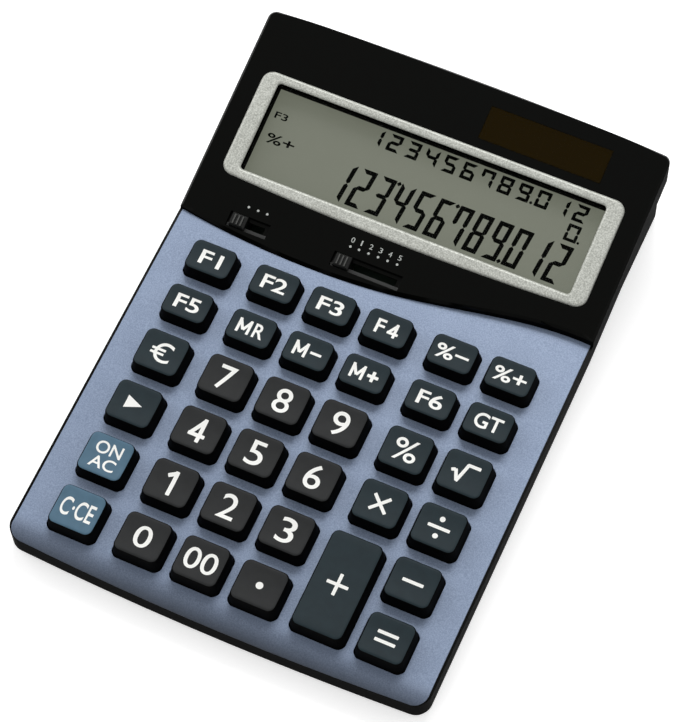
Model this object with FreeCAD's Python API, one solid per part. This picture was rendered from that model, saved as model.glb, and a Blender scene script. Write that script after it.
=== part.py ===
import FreeCAD, Part
import math
import os

os.makedirs("parts", exist_ok=True)
V = FreeCAD.Vector

# The keyboard frame: X across, Y along the keyboard from the front edge of the case, Z square to it.
# The display frame is the same frame turned up about the line where the display housing starts.
# The desk frame has +Z up, +Y to the back and its origin under the middle of the case.

# Overall sizes
case_width = 144.2
case_length = 204.3
desk_slope = 2.5
display_tilt = 11.75
display_start = 120.5
skirt_depth = 9.0
skirt_above_desk = 2.7
foot_height = 1.2

# Outline of the case seen square to the keyboard
front_bow = 2.1
rear_bow = 1.6
front_corner_radius = 5.5
rear_corner_radius = 2.8
lip_start = 7.5
lip_radius = 14.5
lip_sweep = 44.0

# Walls and fits of the two case halves
skirt_wall = 2.0
housing_wall = 2.0
boundary_wall = 1.2
housing_bevel = 0.8
deck_thickness = 1.8
rim_width = 0.8
rear_skirt_start = 135.5
rear_skirt_slope = 0.22
flange_inset = 0.5
flange_thickness = 1.6
tub_inset = 2.0
tub_wall = 1.8
tub_floor = 1.6
tongue_gap = 0.2
tongue_thickness = 1.2
tongue_height = 2.0
tab_places = [-44.0, 0.0, 44.0]
tab_width = 9.0
tab_height = 4.2
tab_nib = 1.0
tab_bite = 0.7
tab_play = 0.2
reach = 60.0

# Blue plate over the keyboard, and the curve where it meets the display housing
plate_thickness = 1.0
plate_side_gap = 0.1
plate_rear_gap = 0.15
boundary_points = [(-27, 125.95), (5, 127.8), (31, 132.5), (52, 136.1)]
boundary_left = 130.3
boundary_right = 136.4
boundary_past_side = 3.9

# Keys
key_width = 16.7
key_length = 15.0
function_key_length = 12.1
plus_key_width = 18.6
key_corner_cut = 1.5
key_height = 6.0
key_shoulder = 0.7
key_draft = 0.65
key_wall = 1.5
key_top_wall = 1.9
dish_share = 0.84
dish_depth = 0.5
dish_flats = 4
key_gap = 0.3
key_travel = 2.0
key_flange = 0.9
key_flange_thickness = 1.0
key_flange_gap = 0.2
post_size = 3.4

# Key grid: centre group of three columns, one column to its left, two to its right
key_pitch = 20.0
group_pitch = 22.8
front_row = 16.5
function_row_step = 19.2
function_row_pitch = 17.7

# Silicone mat and the board under the keys
dome_top = 5.0
dome_base = 8.0
dome_wall = 0.5
mat_thickness = 1.0
press_room = 0.2
board_thickness = 1.2
board_side_gap = 4.1
board_front = 6.0
board_step = 0.7
guide_rib = 1.2
stake_from_edge = 2.2
stake_root = 3.0
stake_pin = 1.8
stake_hole = 2.0
stake_head = 0.7
key_board_stakes = [25.0, 66.0, 107.0]

# Display stack, measured square to the display surface
bezel_from_side = 7.2
bezel_low = 23.4
bezel_bow = 1.9
bezel_length = 40.3
bezel_corner = 4.0
bezel_seat = 1.0
bezel_rise = 0.7
bezel_bevel = 0.7
bezel_gap = 0.1
band_side = 6.15
band_front = 4.9
band_rear = 3.3
opening_corner = 1.2
window_thickness = 1.2
window_ledge = 1.5
window_gap = 0.1
shroud_wall = 3.0
shroud_depth = 5.5
lcd_thickness = 2.6
lcd_margin = 2.2
lcd_gap = 0.2
holder_wall = 2.2
holder_ledge = 2.0
holder_open_margin = 2.5
strip_width = 1.8
strip_from_edge = 1.5
display_board_low = 6.0
board_past_bezel = 5.3
front_stake = 20.5
rear_stake_from_edge = 2.0

# Solar cell behind its own tinted pane
solar_middle = 32.0
solar_width = 43.2
solar_behind_bezel = 3.1
solar_length = 12.1
pane_thickness = 1.2
pane_gap = 0.1
pane_ledge = 1.0
cell_thickness = 1.2
cell_margin = 0.6

# Slide switches on the display housing
slot_low = 8.6
slot_high = 13.8
slot_recess = 1.2
slot_end_gap = 1.0
knob_length = 5.5
knob_gap = 0.3
knob_rise = 1.1
knob_rib = 0.55
knob_rib_height = 0.5
knob_lift = 0.2
stem_width = 2.0
stem_gap = 0.2
slider_length = 5.0
slider_width = 4.0
wiper_height = 1.8
slider_gap = 0.2
stem_length = 4.0
wiper_thickness = 0.3
wiper_width = 3.0
rounding_knob_x = -51.6
rounding_travel = 6.8
decimal_knob_x = -14.1
decimal_travel = 16.8

# Screws, posts and feet
middle_screw_from_side = 12.1
post_from_key_board = 0.3
rear_screw_from_side = 11.1
rear_screw_from_rear = 8.3
screw_head_radius = 2.5
screw_head_height = 1.8
screw_radius = 1.45
screw_length = 5.0
screw_hole_gap = 0.05
recess_gap = 0.3
boss_radius = 3.0
lower_post_radius = 4.2
post_flats = 10
post_web = 1.8
middle_post_top = 8.4
rear_post_top = 19.0
foot_width = 12.0
foot_length = 8.0
foot_seat = 0.6
foot_from_side = 20.1
foot_from_front = 22.0
foot_from_rear = 22.0

# Battery bay with its cover that slides out to the rear
bay_x = -30.0
bay_before_board_edge = 22.2
cover_width = 24.0
cover_tongue = 1.2
cover_tongue_thickness = 0.8
cover_gap = 0.2
cover_lip_height = 7.0
cover_lip_thickness = 2.0
tongue_play = 0.1
grip_count = 4
grip_pitch = 1.6
grip_depth = 0.5
rail_width = 1.4
rail_lip = 1.2
cell_radius = 5.8
cell_height = 5.4
cell_room = 0.2
cell_from_front = 11.0
bay_roof = 1.4
bay_roof_gap = 1.8
contact_thickness = 0.3
contact_width = 4.0
contact_play = 0.1

# Small parts on the boards
chip_radius = 8.0
chip_height = 1.4
ribbon_width = 34.0
ribbon_thickness = 0.3
lead_width = 2.4
lead_thickness = 1.0
lead_from_edge = 0.2

# Levels below the keyboard surface
deck_bottom = plate_thickness + deck_thickness
key_flange_top = deck_bottom + key_flange_gap
key_bottom = key_flange_top + key_flange_thickness
mat_top = key_bottom + key_travel + press_room
mat_bottom = mat_top + mat_thickness
key_board_bottom = mat_bottom + board_thickness

# Levels below the display surface
lcd_top = shroud_depth
lcd_bottom = lcd_top + lcd_thickness
display_board_top = lcd_bottom + holder_ledge
display_board_bottom = display_board_top + board_thickness

half_width = case_width / 2
board_half_width = half_width - skirt_wall - board_side_gap
key_board_end = display_start - board_step
stake_x = board_half_width - stake_from_edge
bezel_half_width = half_width - bezel_from_side
bezel_high = bezel_low + bezel_length
opening_half_width = bezel_half_width - band_side
opening_low = bezel_low + band_front
opening_high = bezel_high - band_rear
solar_low = bezel_high + solar_behind_bezel
solar_high = solar_low + solar_length
display_board_high = bezel_high + board_past_bezel
display_board_stakes = [front_stake, display_board_high - rear_stake_from_edge]
slider_bottom = display_board_top - wiper_height
middle_post_y = key_board_end + post_from_key_board + lower_post_radius
middle_screw = (half_width - middle_screw_from_side, middle_post_y)
rear_screw = (half_width - rear_screw_from_side, case_length - rear_screw_from_rear)
foot_x = half_width - foot_from_side
front_arc = (half_width ** 2 + front_bow ** 2) / (2 * front_bow)
rear_arc = (half_width ** 2 + rear_bow ** 2) / (2 * rear_bow)
display_frame = FreeCAD.Placement(V(0, display_start, 0), FreeCAD.Rotation(V(1, 0, 0), display_tilt))


def box(x0, x1, y0, y1, z0, z1):
    return Part.makeBox(x1 - x0, y1 - y0, z1 - z0, V(x0, y0, z0))


def placed(shape, placement):
    moved = shape.copy()
    moved.Placement = placement.multiply(moved.Placement)
    return moved


def on_display(shape):
    return placed(shape, display_frame)


def cylinder(x, y, z0, z1, radius):
    return Part.makeCylinder(radius, z1 - z0, V(x, y, z0))


def post(x, y, z0, z1, radius):
    """A round post, hole or screw, drawn with a few flats to keep its mesh light."""
    points = []
    for n in range(post_flats):
        turn = (n + 0.5) / post_flats * 2 * math.pi
        points.append(V(x + radius * math.cos(turn), y + radius * math.sin(turn), z0))
    return Part.Face(Part.makePolygon(points + points[:1])).extrude(V(0, 0, z1 - z0))


def side_prism(points, x0, x1):
    """A solid whose outline lies in the Y-Z plane, from x0 to x1."""
    corners = [V(x0, y, z) for y, z in points]
    return Part.Face(Part.makePolygon(corners + corners[:1])).extrude(V(x1 - x0, 0, 0))


def rounded_wire(x0, x1, y0, y1, radius, z):
    """A rectangle with round corners at height z."""
    quarter = radius * math.sqrt(0.5)
    edges = []
    corners = [(x1, y0, 1, -1), (x1, y1, 1, 1), (x0, y1, -1, 1), (x0, y0, -1, -1)]
    starts, ends, middles = [], [], []
    for x, y, sx, sy in corners:
        cx, cy = x - sx * radius, y - sy * radius
        first, last = V(cx, y, z), V(x, cy, z)
        if sx * sy > 0:
            first, last = last, first
        starts.append(first)
        ends.append(last)
        middles.append(V(cx + sx * quarter, cy + sy * quarter, z))
    for n in range(4):
        edges.append(Part.Arc(starts[n], middles[n], ends[n]).toShape())
        edges.append(Part.LineSegment(ends[n], starts[(n + 1) % 4]).toShape())
    return Part.Wire(edges)


def rounded_block(x0, x1, y0, y1, radius, z0, z1):
    return Part.Face(rounded_wire(x0, x1, y0, y1, radius, z0)).extrude(V(0, 0, z1 - z0))


def key_outline(sides, inset, z):
    """The eight corners of a key's outline, moved inwards by inset."""
    x0, x1, y0, y1 = sides[0] + inset, sides[1] - inset, sides[2] + inset, sides[3] - inset
    cut = key_corner_cut - inset * (2 - math.sqrt(2))
    right = [(x1 - cut, y0), (x1, y0 + cut), (x1, y1 - cut), (x1 - cut, y1)]
    left = [(x0 + cut, y1), (x0, y1 - cut), (x0, y0 + cut), (x0 + cut, y0)]
    return [V(x, y, z) for x, y in right + left]


def flat_sided(outlines):
    """A closed solid with flat faces between outlines stacked on each other."""
    faces = [Part.Face(Part.makePolygon(points + points[:1])) for points in (outlines[0], outlines[-1])]
    for low, high in zip(outlines, outlines[1:]):
        count = len(low)
        for n in range(count):
            m = (n + 1) % count
            faces.append(Part.Face(Part.makePolygon([low[n], low[m], high[m], high[n], low[n]])))
    solid = Part.Solid(Part.Shell(faces))
    if solid.Volume < 0:
        solid.reverse()
    return solid


def outline_wire(inset, z):
    """The case's outline, moved inwards by inset: straight sides, bowed front and rear."""
    side = half_width - inset
    front_side = front_arc - math.sqrt((front_arc - inset) ** 2 - side ** 2)
    rear_side = case_length - rear_arc + math.sqrt((rear_arc - inset) ** 2 - side ** 2)
    a, b = V(-side, front_side, z), V(side, front_side, z)
    c, d = V(side, rear_side, z), V(-side, rear_side, z)
    front = Part.Arc(a, V(0, inset, z), b).toShape()
    right = Part.LineSegment(b, c).toShape()
    rear = Part.Arc(c, V(0, case_length - inset, z), d).toShape()
    left = Part.LineSegment(d, a).toShape()
    return Part.Wire([front, right, rear, left])


def round_uprights(solid, inset):
    """Rounds the four corner edges of a block that was raised from an outline."""
    middle = case_length / 2
    for front, radius in ((True, front_corner_radius - inset), (False, rear_corner_radius - inset)):
        edges = []
        for edge in solid.Edges:
            upright = edge.BoundBox.ZLength > solid.BoundBox.ZLength / 2
            if upright and (edge.CenterOfMass.y < middle) == front:
                edges.append(edge)
        solid = solid.makeFillet(max(radius, 0.6), edges)
    return solid


def case_block(inset, low, high):
    block = Part.Face(outline_wire(inset, low)).extrude(V(0, 0, high - low))
    return round_uprights(block, inset)


def below_keyboard(depth):
    """All that lies deeper than depth under the keyboard surface, whose front lip curves down."""
    sweep = math.radians(lip_sweep)
    radius = lip_radius - depth
    top = V(0, lip_start, -depth)
    mid = V(0, lip_start - radius * math.sin(sweep / 2), radius * math.cos(sweep / 2) - lip_radius)
    end = V(0, lip_start - radius * math.sin(sweep), radius * math.cos(sweep) - lip_radius)
    far = case_length + reach
    points = [end, V(0, end.y, -reach), V(0, far, -reach), V(0, far, -depth), top]
    edges = [Part.LineSegment(points[n], points[n + 1]).toShape() for n in range(4)]
    edges.append(Part.Arc(top, mid, end).toShape())
    face = Part.Face(Part.Wire(edges))
    face.translate(V(-reach * 2, 0, 0))
    return face.extrude(V(reach * 4, 0, 0))


def below_display(depth):
    far = case_length
    return on_display(box(-reach * 2, reach * 2, -reach, far, -reach, -depth))


def above_skirt_edge(drop):
    """All that lies above the lower edge of the skirt, or above a copy of it drop lower."""
    far = case_length + reach
    rise = rear_skirt_slope * (far - rear_skirt_start)
    level = -skirt_depth - drop
    edge = [(-reach, level), (rear_skirt_start, level), (far, level + rise)]
    return side_prism(edge + [(far, reach), (-reach, reach)], -reach * 2, reach * 2)


def before_boundary(shift):
    """All that lies in front of the curve between the plate and the display housing."""
    side = half_width + boundary_past_side
    run = [(-side, boundary_left)] + boundary_points + [(side, boundary_right)]
    points = [V(x, y + shift, -reach) for x, y in run]
    curve = Part.BSplineCurve()
    curve.interpolate(points)
    first, last = points[0], points[-1]
    a, b = V(last.x, -reach, -reach), V(first.x, -reach, -reach)
    edges = [curve.toShape()]
    edges += [Part.LineSegment(p, q).toShape() for p, q in ((last, a), (a, b), (b, first))]
    return Part.Face(Part.Wire(edges)).extrude(V(0, 0, reach * 2))


def in_desk(shape):
    return placed(shape, desk_frame)


# The keyboard frame leans back on the desk, with the case centred over the origin
tilt = math.radians(desk_slope)
lip_foot = math.sqrt(lip_radius ** 2 - lip_start ** 2) - lip_radius
rear_edge = rear_skirt_slope * (case_length - rear_skirt_start) - skirt_depth
front_reach = -lip_foot * math.sin(tilt)
rear_reach = case_length * math.cos(tilt) - rear_edge * math.sin(tilt)
desk_rise = skirt_above_desk + skirt_depth * math.cos(tilt)
desk_frame = FreeCAD.Placement(
    V(0, -(front_reach + rear_reach) / 2, desk_rise), FreeCAD.Rotation(V(1, 0, 0), desk_slope)
)
case_rear = (rear_reach - front_reach) / 2
base_level = foot_height
floor_level = foot_height + tub_floor
cover_top = floor_level + tongue_play + cover_tongue_thickness
cell_top = cover_top + cover_gap + cell_height
bay_top = cell_top + bay_roof_gap + bay_roof
board_edge = desk_frame.multVec(display_frame.multVec(V(0, display_board_high, -display_board_bottom)))
bay_front = board_edge.y - bay_before_board_edge

# Columns are counted from the left, rows from the front
columns = [-1.5 * key_pitch - group_pitch, -1.5 * key_pitch, -0.5 * key_pitch, 0.5 * key_pitch]
columns += [0.5 * key_pitch + group_pitch, 1.5 * key_pitch + group_pitch]
rows = [front_row + n * key_pitch for n in range(4)]
rows.append(rows[3] + function_row_step)
rows.append(rows[4] + function_row_pitch)
key_names = [
    ["clear_entry", "0", "00", "point", None, "equals"],
    ["on_clear", "1", "2", "3", "plus", "minus"],
    ["backspace", "4", "5", "6", "multiply", "divide"],
    ["euro", "7", "8", "9", "percent", "square_root"],
    ["local", "memory_recall", "memory_minus", "memory_plus", "hms", "grand_total"],
    ["cost", "sell", "margin", "change", "tax_minus", "tax_plus"],
]


def key_box(row, column):
    """Left, right, front and rear of a key at the height of the plate."""
    x, y = columns[column], rows[row]
    right = x + key_width / 2
    half = (function_key_length if row > 3 else key_length) / 2
    if key_names[row][column] == "plus":
        return right - plus_key_width, right, rows[row - 1] - half, y + half
    return x - key_width / 2, right, y - half, y + half


keys = {}
for row, names in enumerate(key_names):
    for column, name in enumerate(names):
        if name:
            keys[name] = key_box(row, column)

# Each dome stands under the middle of a key place, so the plus key has two
domes = [(x, y) for y in rows for x in columns]


def dome_places(key):
    """The domes that stand under one key."""
    x0, x1, y0, y1 = key
    return [(x, y) for x, y in domes if x0 < x < x1 and y0 < y < y1]


def key_cap(key):
    x0, x1, y0, y1 = key
    low = key_outline(key, 0, -key_bottom)
    waist = key_outline(key, key_draft, key_height - key_shoulder)
    top = key_outline(key, key_draft + key_shoulder, key_height)
    cap = flat_sided([low, waist, top])
    f = key_flange
    cap = cap.fuse(box(x0 - f, x1 + f, y0 - f, y1 + f, -key_bottom, -key_flange_top))
    w = key_wall
    cap = cap.cut(box(x0 + w, x1 - w, y0 + w, y1 - w, -key_bottom, key_height - key_top_wall))
    half = post_size / 2
    for x, y in dome_places(key):
        cap = cap.fuse(box(x - half, x + half, y - half, y + half, -key_bottom, key_height - key_top_wall))
    return in_desk(cap.cut(key_dish(key)).removeSplitter())


def key_dish(key):
    """What the finger's dish takes off a key: a shallow arc across it, drawn with a few flats."""
    x0, x1, y0, y1 = key
    middle = (y0 + y1) / 2
    half = (y1 - y0) / 2 * dish_share
    points = [(middle + half, key_height + 1), (middle - half, key_height + 1)]
    for n in range(dish_flats + 1):
        along = n / dish_flats * 2 - 1
        points.append((middle + along * half, key_height - dish_depth * (1 - along ** 2)))
    return side_prism(points, x0 - 1, x1 + 1)


def key_mat():
    x0 = columns[0] - key_width / 2 - key_flange
    x1 = columns[-1] + key_width / 2 + key_flange
    y0 = rows[0] - key_length / 2
    y1 = rows[-1] + function_key_length / 2
    mat = box(x0, x1, y0, y1, -mat_bottom, -mat_top)
    bumps, hollows = [], []
    for x, y in domes:
        bumps.append(square_dome(x, y, dome_base / 2, dome_top / 2, -mat_top, -key_bottom))
        low, high = -mat_bottom, -key_bottom - dome_wall * 2
        hollows.append(square_dome(x, y, dome_base / 2 - dome_wall, dome_top / 2 - dome_wall, low, high))
    return in_desk(mat.fuse(bumps).cut(hollows).removeSplitter())


def square_dome(x, y, low_half, high_half, low, high):
    outlines = []
    for half, z in ((low_half, low), (high_half, high)):
        corners = [(-half, -half), (half, -half), (half, half), (-half, half)]
        outlines.append([V(x + dx, y + dy, z) for dx, dy in corners])
    return flat_sided(outlines)


def key_holes(low, high):
    """Holes with the outline of the keys and the gap round it."""
    return [flat_sided([key_outline(sides, -key_gap, z) for z in (low, high)]) for sides in keys.values()]


def square_key_holes(low, high):
    g = key_gap
    return [box(x0 - g, x1 + g, y0 - g, y1 + g, low, high) for x0, x1, y0, y1 in keys.values()]


def keyboard_plate():
    plate = case_block(rim_width + plate_side_gap, -skirt_depth, skirt_depth)
    plate = plate.common(below_keyboard(0)).cut(below_keyboard(plate_thickness))
    plate = plate.common(before_boundary(-plate_rear_gap))
    return in_desk(plate.cut(key_holes(-plate_thickness * 2, plate_thickness)))


def bezel_block(grow, low, high):
    """The display frame's outline: straight top and sides, and a lower edge bowed to the front."""
    x, y0, y1 = bezel_half_width + grow, bezel_low + bezel_bow - grow, bezel_high + grow
    a, b, c, d = V(-x, y0, low), V(x, y0, low), V(x, y1, low), V(-x, y1, low)
    edges = [Part.Arc(a, V(0, y0 - bezel_bow, low), b).toShape()]
    edges += [Part.LineSegment(p, q).toShape() for p, q in ((b, c), (c, d), (d, a))]
    block = Part.Face(Part.Wire(edges)).extrude(V(0, 0, high - low))
    corners = [e for e in block.Edges if e.BoundBox.ZLength > (high - low) / 2]
    return block.makeFillet(bezel_corner + grow, corners)


def opening_sides(grow):
    return (-opening_half_width - grow, opening_half_width + grow, opening_low - grow, opening_high + grow)


def opening_block(grow, low, high):
    return box(*opening_sides(grow), low, high)


def solar_block(grow, low, high):
    x0, x1 = solar_middle - solar_width / 2 - grow, solar_middle + solar_width / 2 + grow
    return box(x0, x1, solar_low - grow, solar_high + grow, low, high)


def edges_at(shape, level):
    """The edges of a shape that lie at one height."""
    found = []
    for edge in shape.Edges:
        flat = abs(edge.BoundBox.ZMin - level) < 1e-4 and abs(edge.BoundBox.ZMax - level) < 1e-4
        if flat:
            found.append(edge)
    return found


def display_bezel():
    opening = rounded_block(*opening_sides(0), opening_corner, -bezel_seat - 1, bezel_rise + 1)
    bezel = bezel_block(0, -bezel_seat, bezel_rise).cut(opening)
    return in_desk(on_display(bezel.makeChamfer(bezel_bevel, edges_at(bezel, bezel_rise))))


def display_window():
    low = -bezel_seat - window_thickness
    return in_desk(on_display(opening_block(window_ledge - window_gap, low, -bezel_seat)))


def lcd_glass():
    return in_desk(on_display(opening_block(lcd_margin, -lcd_bottom, -lcd_top)))


def strip_box():
    rear = opening_high + lcd_margin - strip_from_edge
    side = opening_half_width - holder_open_margin
    return (-side, side, rear - strip_width, rear, -display_board_top, -lcd_bottom)


def lcd_holder():
    grow = lcd_margin + lcd_gap
    holder = opening_block(grow + holder_wall, -display_board_top, -lcd_top)
    holder = holder.cut(opening_block(grow, -lcd_bottom, 0))
    x, m = opening_half_width - holder_open_margin, holder_open_margin * 2
    holder = holder.cut(box(-x, x, opening_low + m, opening_high - m, -display_board_top - 1, 0))
    x0, x1, y0, y1, z0, z1 = strip_box()
    g = lcd_gap / 2
    return in_desk(on_display(holder.cut(box(x0 - g, x1 + g, y0 - g, y1 + g, z0 - 1, z1))))


def lcd_contact_strip():
    return in_desk(on_display(box(*strip_box())))


def stake_blocks(x, y, top, board_top, board_bottom):
    """A moulded stake: a square root, a pin through the board and its melted head."""
    r, p = stake_root / 2, stake_pin / 2
    root = box(x - r, x + r, y - r, y + r, -board_top, top)
    pin = box(x - p, x + p, y - p, y + p, -board_bottom - stake_head, -board_top)
    head = box(x - r, x + r, y - r, y + r, -board_bottom - stake_head, -board_bottom)
    return [root, pin, head]


def board(y0, y1, board_top, board_bottom, stake_rows):
    x = board_half_width
    plate = box(-x, x, y0, y1, -board_bottom, -board_top)
    h = stake_hole / 2
    for y in stake_rows:
        for side in (-stake_x, stake_x):
            plate = plate.cut(box(side - h, side + h, y - h, y + h, -board_bottom - 1, -board_top + 1))
    return plate


def key_board():
    return in_desk(board(board_front, key_board_end, mat_bottom, key_board_bottom, key_board_stakes))


def display_board():
    plate = board(
        display_board_low, display_board_high, display_board_top, display_board_bottom, display_board_stakes
    )
    return in_desk(on_display(plate))


def solar_window():
    return in_desk(on_display(solar_block(-pane_gap, -pane_thickness, 0)))


def solar_cell():
    low = -housing_wall - cell_thickness
    return in_desk(on_display(solar_block(cell_margin, low, -housing_wall)))


def slot_for(knob_x, travel):
    """The shallow track of a slide switch and the narrow slot for its stem."""
    half, stem = knob_length / 2 + slot_end_gap, stem_length / 2 + stem_gap
    track = box(knob_x - half, knob_x + travel + half, slot_low, slot_high, -slot_recess, reach)
    middle, wide = (slot_low + slot_high) / 2, stem_width / 2 + stem_gap
    slot = box(knob_x - stem, knob_x + travel + stem, middle - wide, middle + wide, -housing_wall * 2, 0)
    return [track, slot]


def switch_knob(x):
    half = knob_length / 2
    low = knob_lift - slot_recess
    knob = box(x - half, x + half, slot_low + knob_gap, slot_high - knob_gap, low, knob_rise)
    knob = knob.makeChamfer(knob_rib_height, edges_at(knob, knob_rise))
    for step in (-1, 0, 1):
        rib = x + step * knob_length / 4
        y0, y1 = slot_low + knob_gap * 3, slot_high - knob_gap * 3
        top = knob_rise + knob_rib_height
        knob = knob.fuse(box(rib - knob_rib / 2, rib + knob_rib / 2, y0, y1, 0, top))
    middle = (slot_low + slot_high) / 2
    x0, x1 = x - stem_length / 2, x + stem_length / 2
    slider_top = -housing_wall - slider_gap
    knob = knob.fuse(box(x0, x1, middle - stem_width / 2, middle + stem_width / 2, slider_top, low))
    x0, x1 = x - slider_length / 2, x + slider_length / 2
    slider = box(x0, x1, middle - slider_width / 2, middle + slider_width / 2, -slider_bottom, slider_top)
    return in_desk(on_display(knob.fuse(slider).removeSplitter()))


def leaf_spring(x, y, top, low, length, width, thickness):
    """A folded strip: a strap along the top, and an arm that comes down to touch at low."""
    t, half = thickness, length / 2
    points = [(-half, top), (half, top), (half, top - t), (-half + 3 * t, top - t)]
    points += [(-t, low + t), (2 * t, low + t), (half - 2 * t, (top + low) / 2)]
    points += [(half - t, (top + low) / 2 - t), (3 * t, low), (-t, low), (-half, top - 2 * t)]
    corners = [V(x + dx, y - width / 2, z) for dx, z in points]
    return Part.Face(Part.makePolygon(corners + corners[:1])).extrude(V(0, width, 0))


def switch_wiper(x):
    middle = (slot_low + slot_high) / 2
    low = -display_board_top
    spring = leaf_spring(x, middle, -slider_bottom, low, slider_length, wiper_width, wiper_thickness)
    return in_desk(on_display(spring))


def controller_chip():
    top, low = -display_board_bottom, -display_board_bottom - chip_height
    return in_desk(on_display(post(0, opening_low, low, top, chip_radius)))


def board_ribbon():
    """A flat cable that joins the undersides of the two boards."""
    t, run = ribbon_thickness, 5.0
    landing = [V(0, display_board_low + n * run, -display_board_bottom) for n in (0, 1)]
    (y2, z2), (y3, z3) = [(p.y, p.z) for p in (display_frame.multVec(q) for q in landing)]
    y1, z1 = key_board_end, -key_board_bottom
    top = [(y1 - run, z1), (y1 + 1, z1), (y2 - 1, z2), (y2, z2), (y3, z3)]
    low = [(y, z - t) for y, z in reversed(top)]
    return in_desk(side_prism(top + low, -ribbon_width / 2, ribbon_width / 2))


def front_ring(inner, outer, grow, low, high):
    """Short stretches of a band along the front wall, between two insets, one at each tab."""
    band = case_block(outer, low, high).cut(case_block(inner, low - 1, high + 1))
    half = tab_width / 2 + grow
    stretches = [box(x - half, x + half, -1, reach / 4, low, high) for x in tab_places]
    return band.common(Part.makeCompound(stretches))


def case_inside():
    """The room under the deck and the display housing."""
    inner = case_block(skirt_wall, -reach, reach)
    deck_room = inner.common(below_keyboard(deck_bottom))
    housing_room = inner.common(below_display(housing_wall)).cut(before_boundary(boundary_wall))
    return deck_room.fuse(housing_room)


def guide_ribs():
    """Ribs between the key rows that reach down to the mat, open where the plus key crosses."""
    ribs = []
    x0, x1 = columns[0] - key_width / 2 - key_flange, columns[-1] + key_width / 2 + key_flange
    plus = keys["plus"]
    for row in range(5):
        y = (key_box(row, 0)[3] + key_box(row + 1, 0)[2]) / 2
        spans = [(x0, x1)]
        if plus[2] < y < plus[3]:
            clear = key_flange + guide_rib
            spans = [(x0, plus[0] - clear), (plus[1] + clear, x1)]
        for a, b in spans:
            ribs.append(box(a, b, y - guide_rib / 2, y + guide_rib / 2, -mat_top, -deck_bottom))
    return ribs


def screw_places():
    """X, Y and the top of the base's post for each screw, in the desk frame."""
    middle = desk_frame.multVec(V(0, middle_screw[1], -key_board_bottom)).y
    rear = desk_frame.multVec(V(0, rear_screw[1], rear_edge + tongue_height)).y
    places = []
    for x, y, top in ((middle_screw[0], middle, middle_post_top), (rear_screw[0], rear, rear_post_top)):
        places += [(-x, y, top), (x, y, top)]
    return places


def upper_case():
    block = case_block(0, -skirt_depth - 1, reach)
    skirt = above_skirt_edge(0)
    deck = block.common(below_keyboard(0))
    housing = block.common(below_display(0)).cut(before_boundary(0))
    flat = placed(housing, display_frame.inverse())
    housing = on_display(flat.makeChamfer(housing_bevel, edges_at(flat, 0)))
    case = deck.fuse(housing).common(skirt)
    inside = case_inside()
    case = case.cut(inside)
    seat = case_block(rim_width, -skirt_depth, skirt_depth).common(before_boundary(0))
    case = case.cut(seat.cut(below_keyboard(plate_thickness)))
    case = case.cut(square_key_holes(-deck_bottom - 1, 1))
    pocket_low = tab_height - skirt_depth - tab_nib - tab_play
    pocket_high = tab_height - skirt_depth + tab_play
    pocket_end = skirt_wall - tab_bite - tab_play
    pockets = front_ring(skirt_wall + tab_play, pocket_end, tab_play, pocket_low, pocket_high)
    case = case.cut(pockets).fuse(guide_ribs())
    for y in key_board_stakes:
        for x in (-stake_x, stake_x):
            case = case.fuse(stake_blocks(x, y, -deck_bottom, mat_bottom, key_board_bottom))
    added = [opening_block(shroud_wall, -shroud_depth, -housing_wall)]
    for y in display_board_stakes:
        for x in (-stake_x, stake_x):
            added += stake_blocks(x, y, -housing_wall, display_board_top, display_board_bottom)
    removed = [opening_block(0, -shroud_depth - 1, 1)]
    removed.append(opening_block(window_ledge, -bezel_seat - window_thickness, 1))
    removed.append(bezel_block(bezel_gap, -bezel_seat, 1))
    removed.append(solar_block(0, -pane_thickness, 1))
    removed.append(solar_block(-pane_ledge, -housing_wall - 1, 1))
    removed += slot_for(rounding_knob_x, rounding_travel) + slot_for(decimal_knob_x, decimal_travel)
    case = case.fuse([on_display(s) for s in added]).cut([on_display(s) for s in removed])
    case = in_desk(case)
    room = in_desk(inside)
    for x, y, top in screw_places():
        case = case.fuse(post(x, y, top, reach, boss_radius).common(room))
        bore_top = top - post_web + screw_length + 1
        case = case.cut(post(x, y, top - 1, bore_top, screw_radius + screw_hole_gap))
    return case.removeSplitter()


def tub_block(inset):
    return case_block(inset, -reach / 2, reach / 2)


def foot_places():
    """Centres of the four feet, in the desk frame."""
    ends = (foot_from_front - case_rear, case_rear - foot_from_rear)
    return [(x, y) for y in ends for x in (-foot_x, foot_x)]


def wall_foot():
    """How far back the base's rear wall reaches where it meets the floor, in the desk frame."""
    slab = in_desk(tub_block(tub_inset)).common(
        box(bay_x - 1, bay_x + 1, 0, case_rear, base_level, base_level + grip_depth)
    )
    return slab.BoundBox.YMax


def bay_walls(shell, front, rear):
    """Rails that hold the cover's side tongues, a stop at their end and the round pocket for the cell."""
    side = cover_width / 2 + cover_tongue + cover_gap
    top = cover_top + cover_gap + rail_lip
    stop = front - cover_gap
    outer = side + rail_width
    walls = [box(bay_x - outer, bay_x + outer, stop - rail_width, stop, floor_level, top)]
    for sign in (-1, 1):
        x0, x1 = sorted((bay_x + sign * side, bay_x + sign * outer))
        walls.append(box(x0, x1, stop - rail_width, rear + 1, floor_level, top))
        x0, x1 = sorted((bay_x + sign * (side - cover_tongue), bay_x + sign * outer))
        walls.append(box(x0, x1, stop, rear + 1, cover_top + cover_gap, top))
    pocket = cell_radius + cell_room + bay_roof
    y, low = cell_y(front), cover_top + cover_gap
    walls.append(cylinder(bay_x, y, low, bay_top, pocket))
    walls.append(box(bay_x - outer, bay_x + outer, y - pocket / 2, y + pocket / 2, low, top))
    return [wall.common(shell) for wall in walls]


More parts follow.
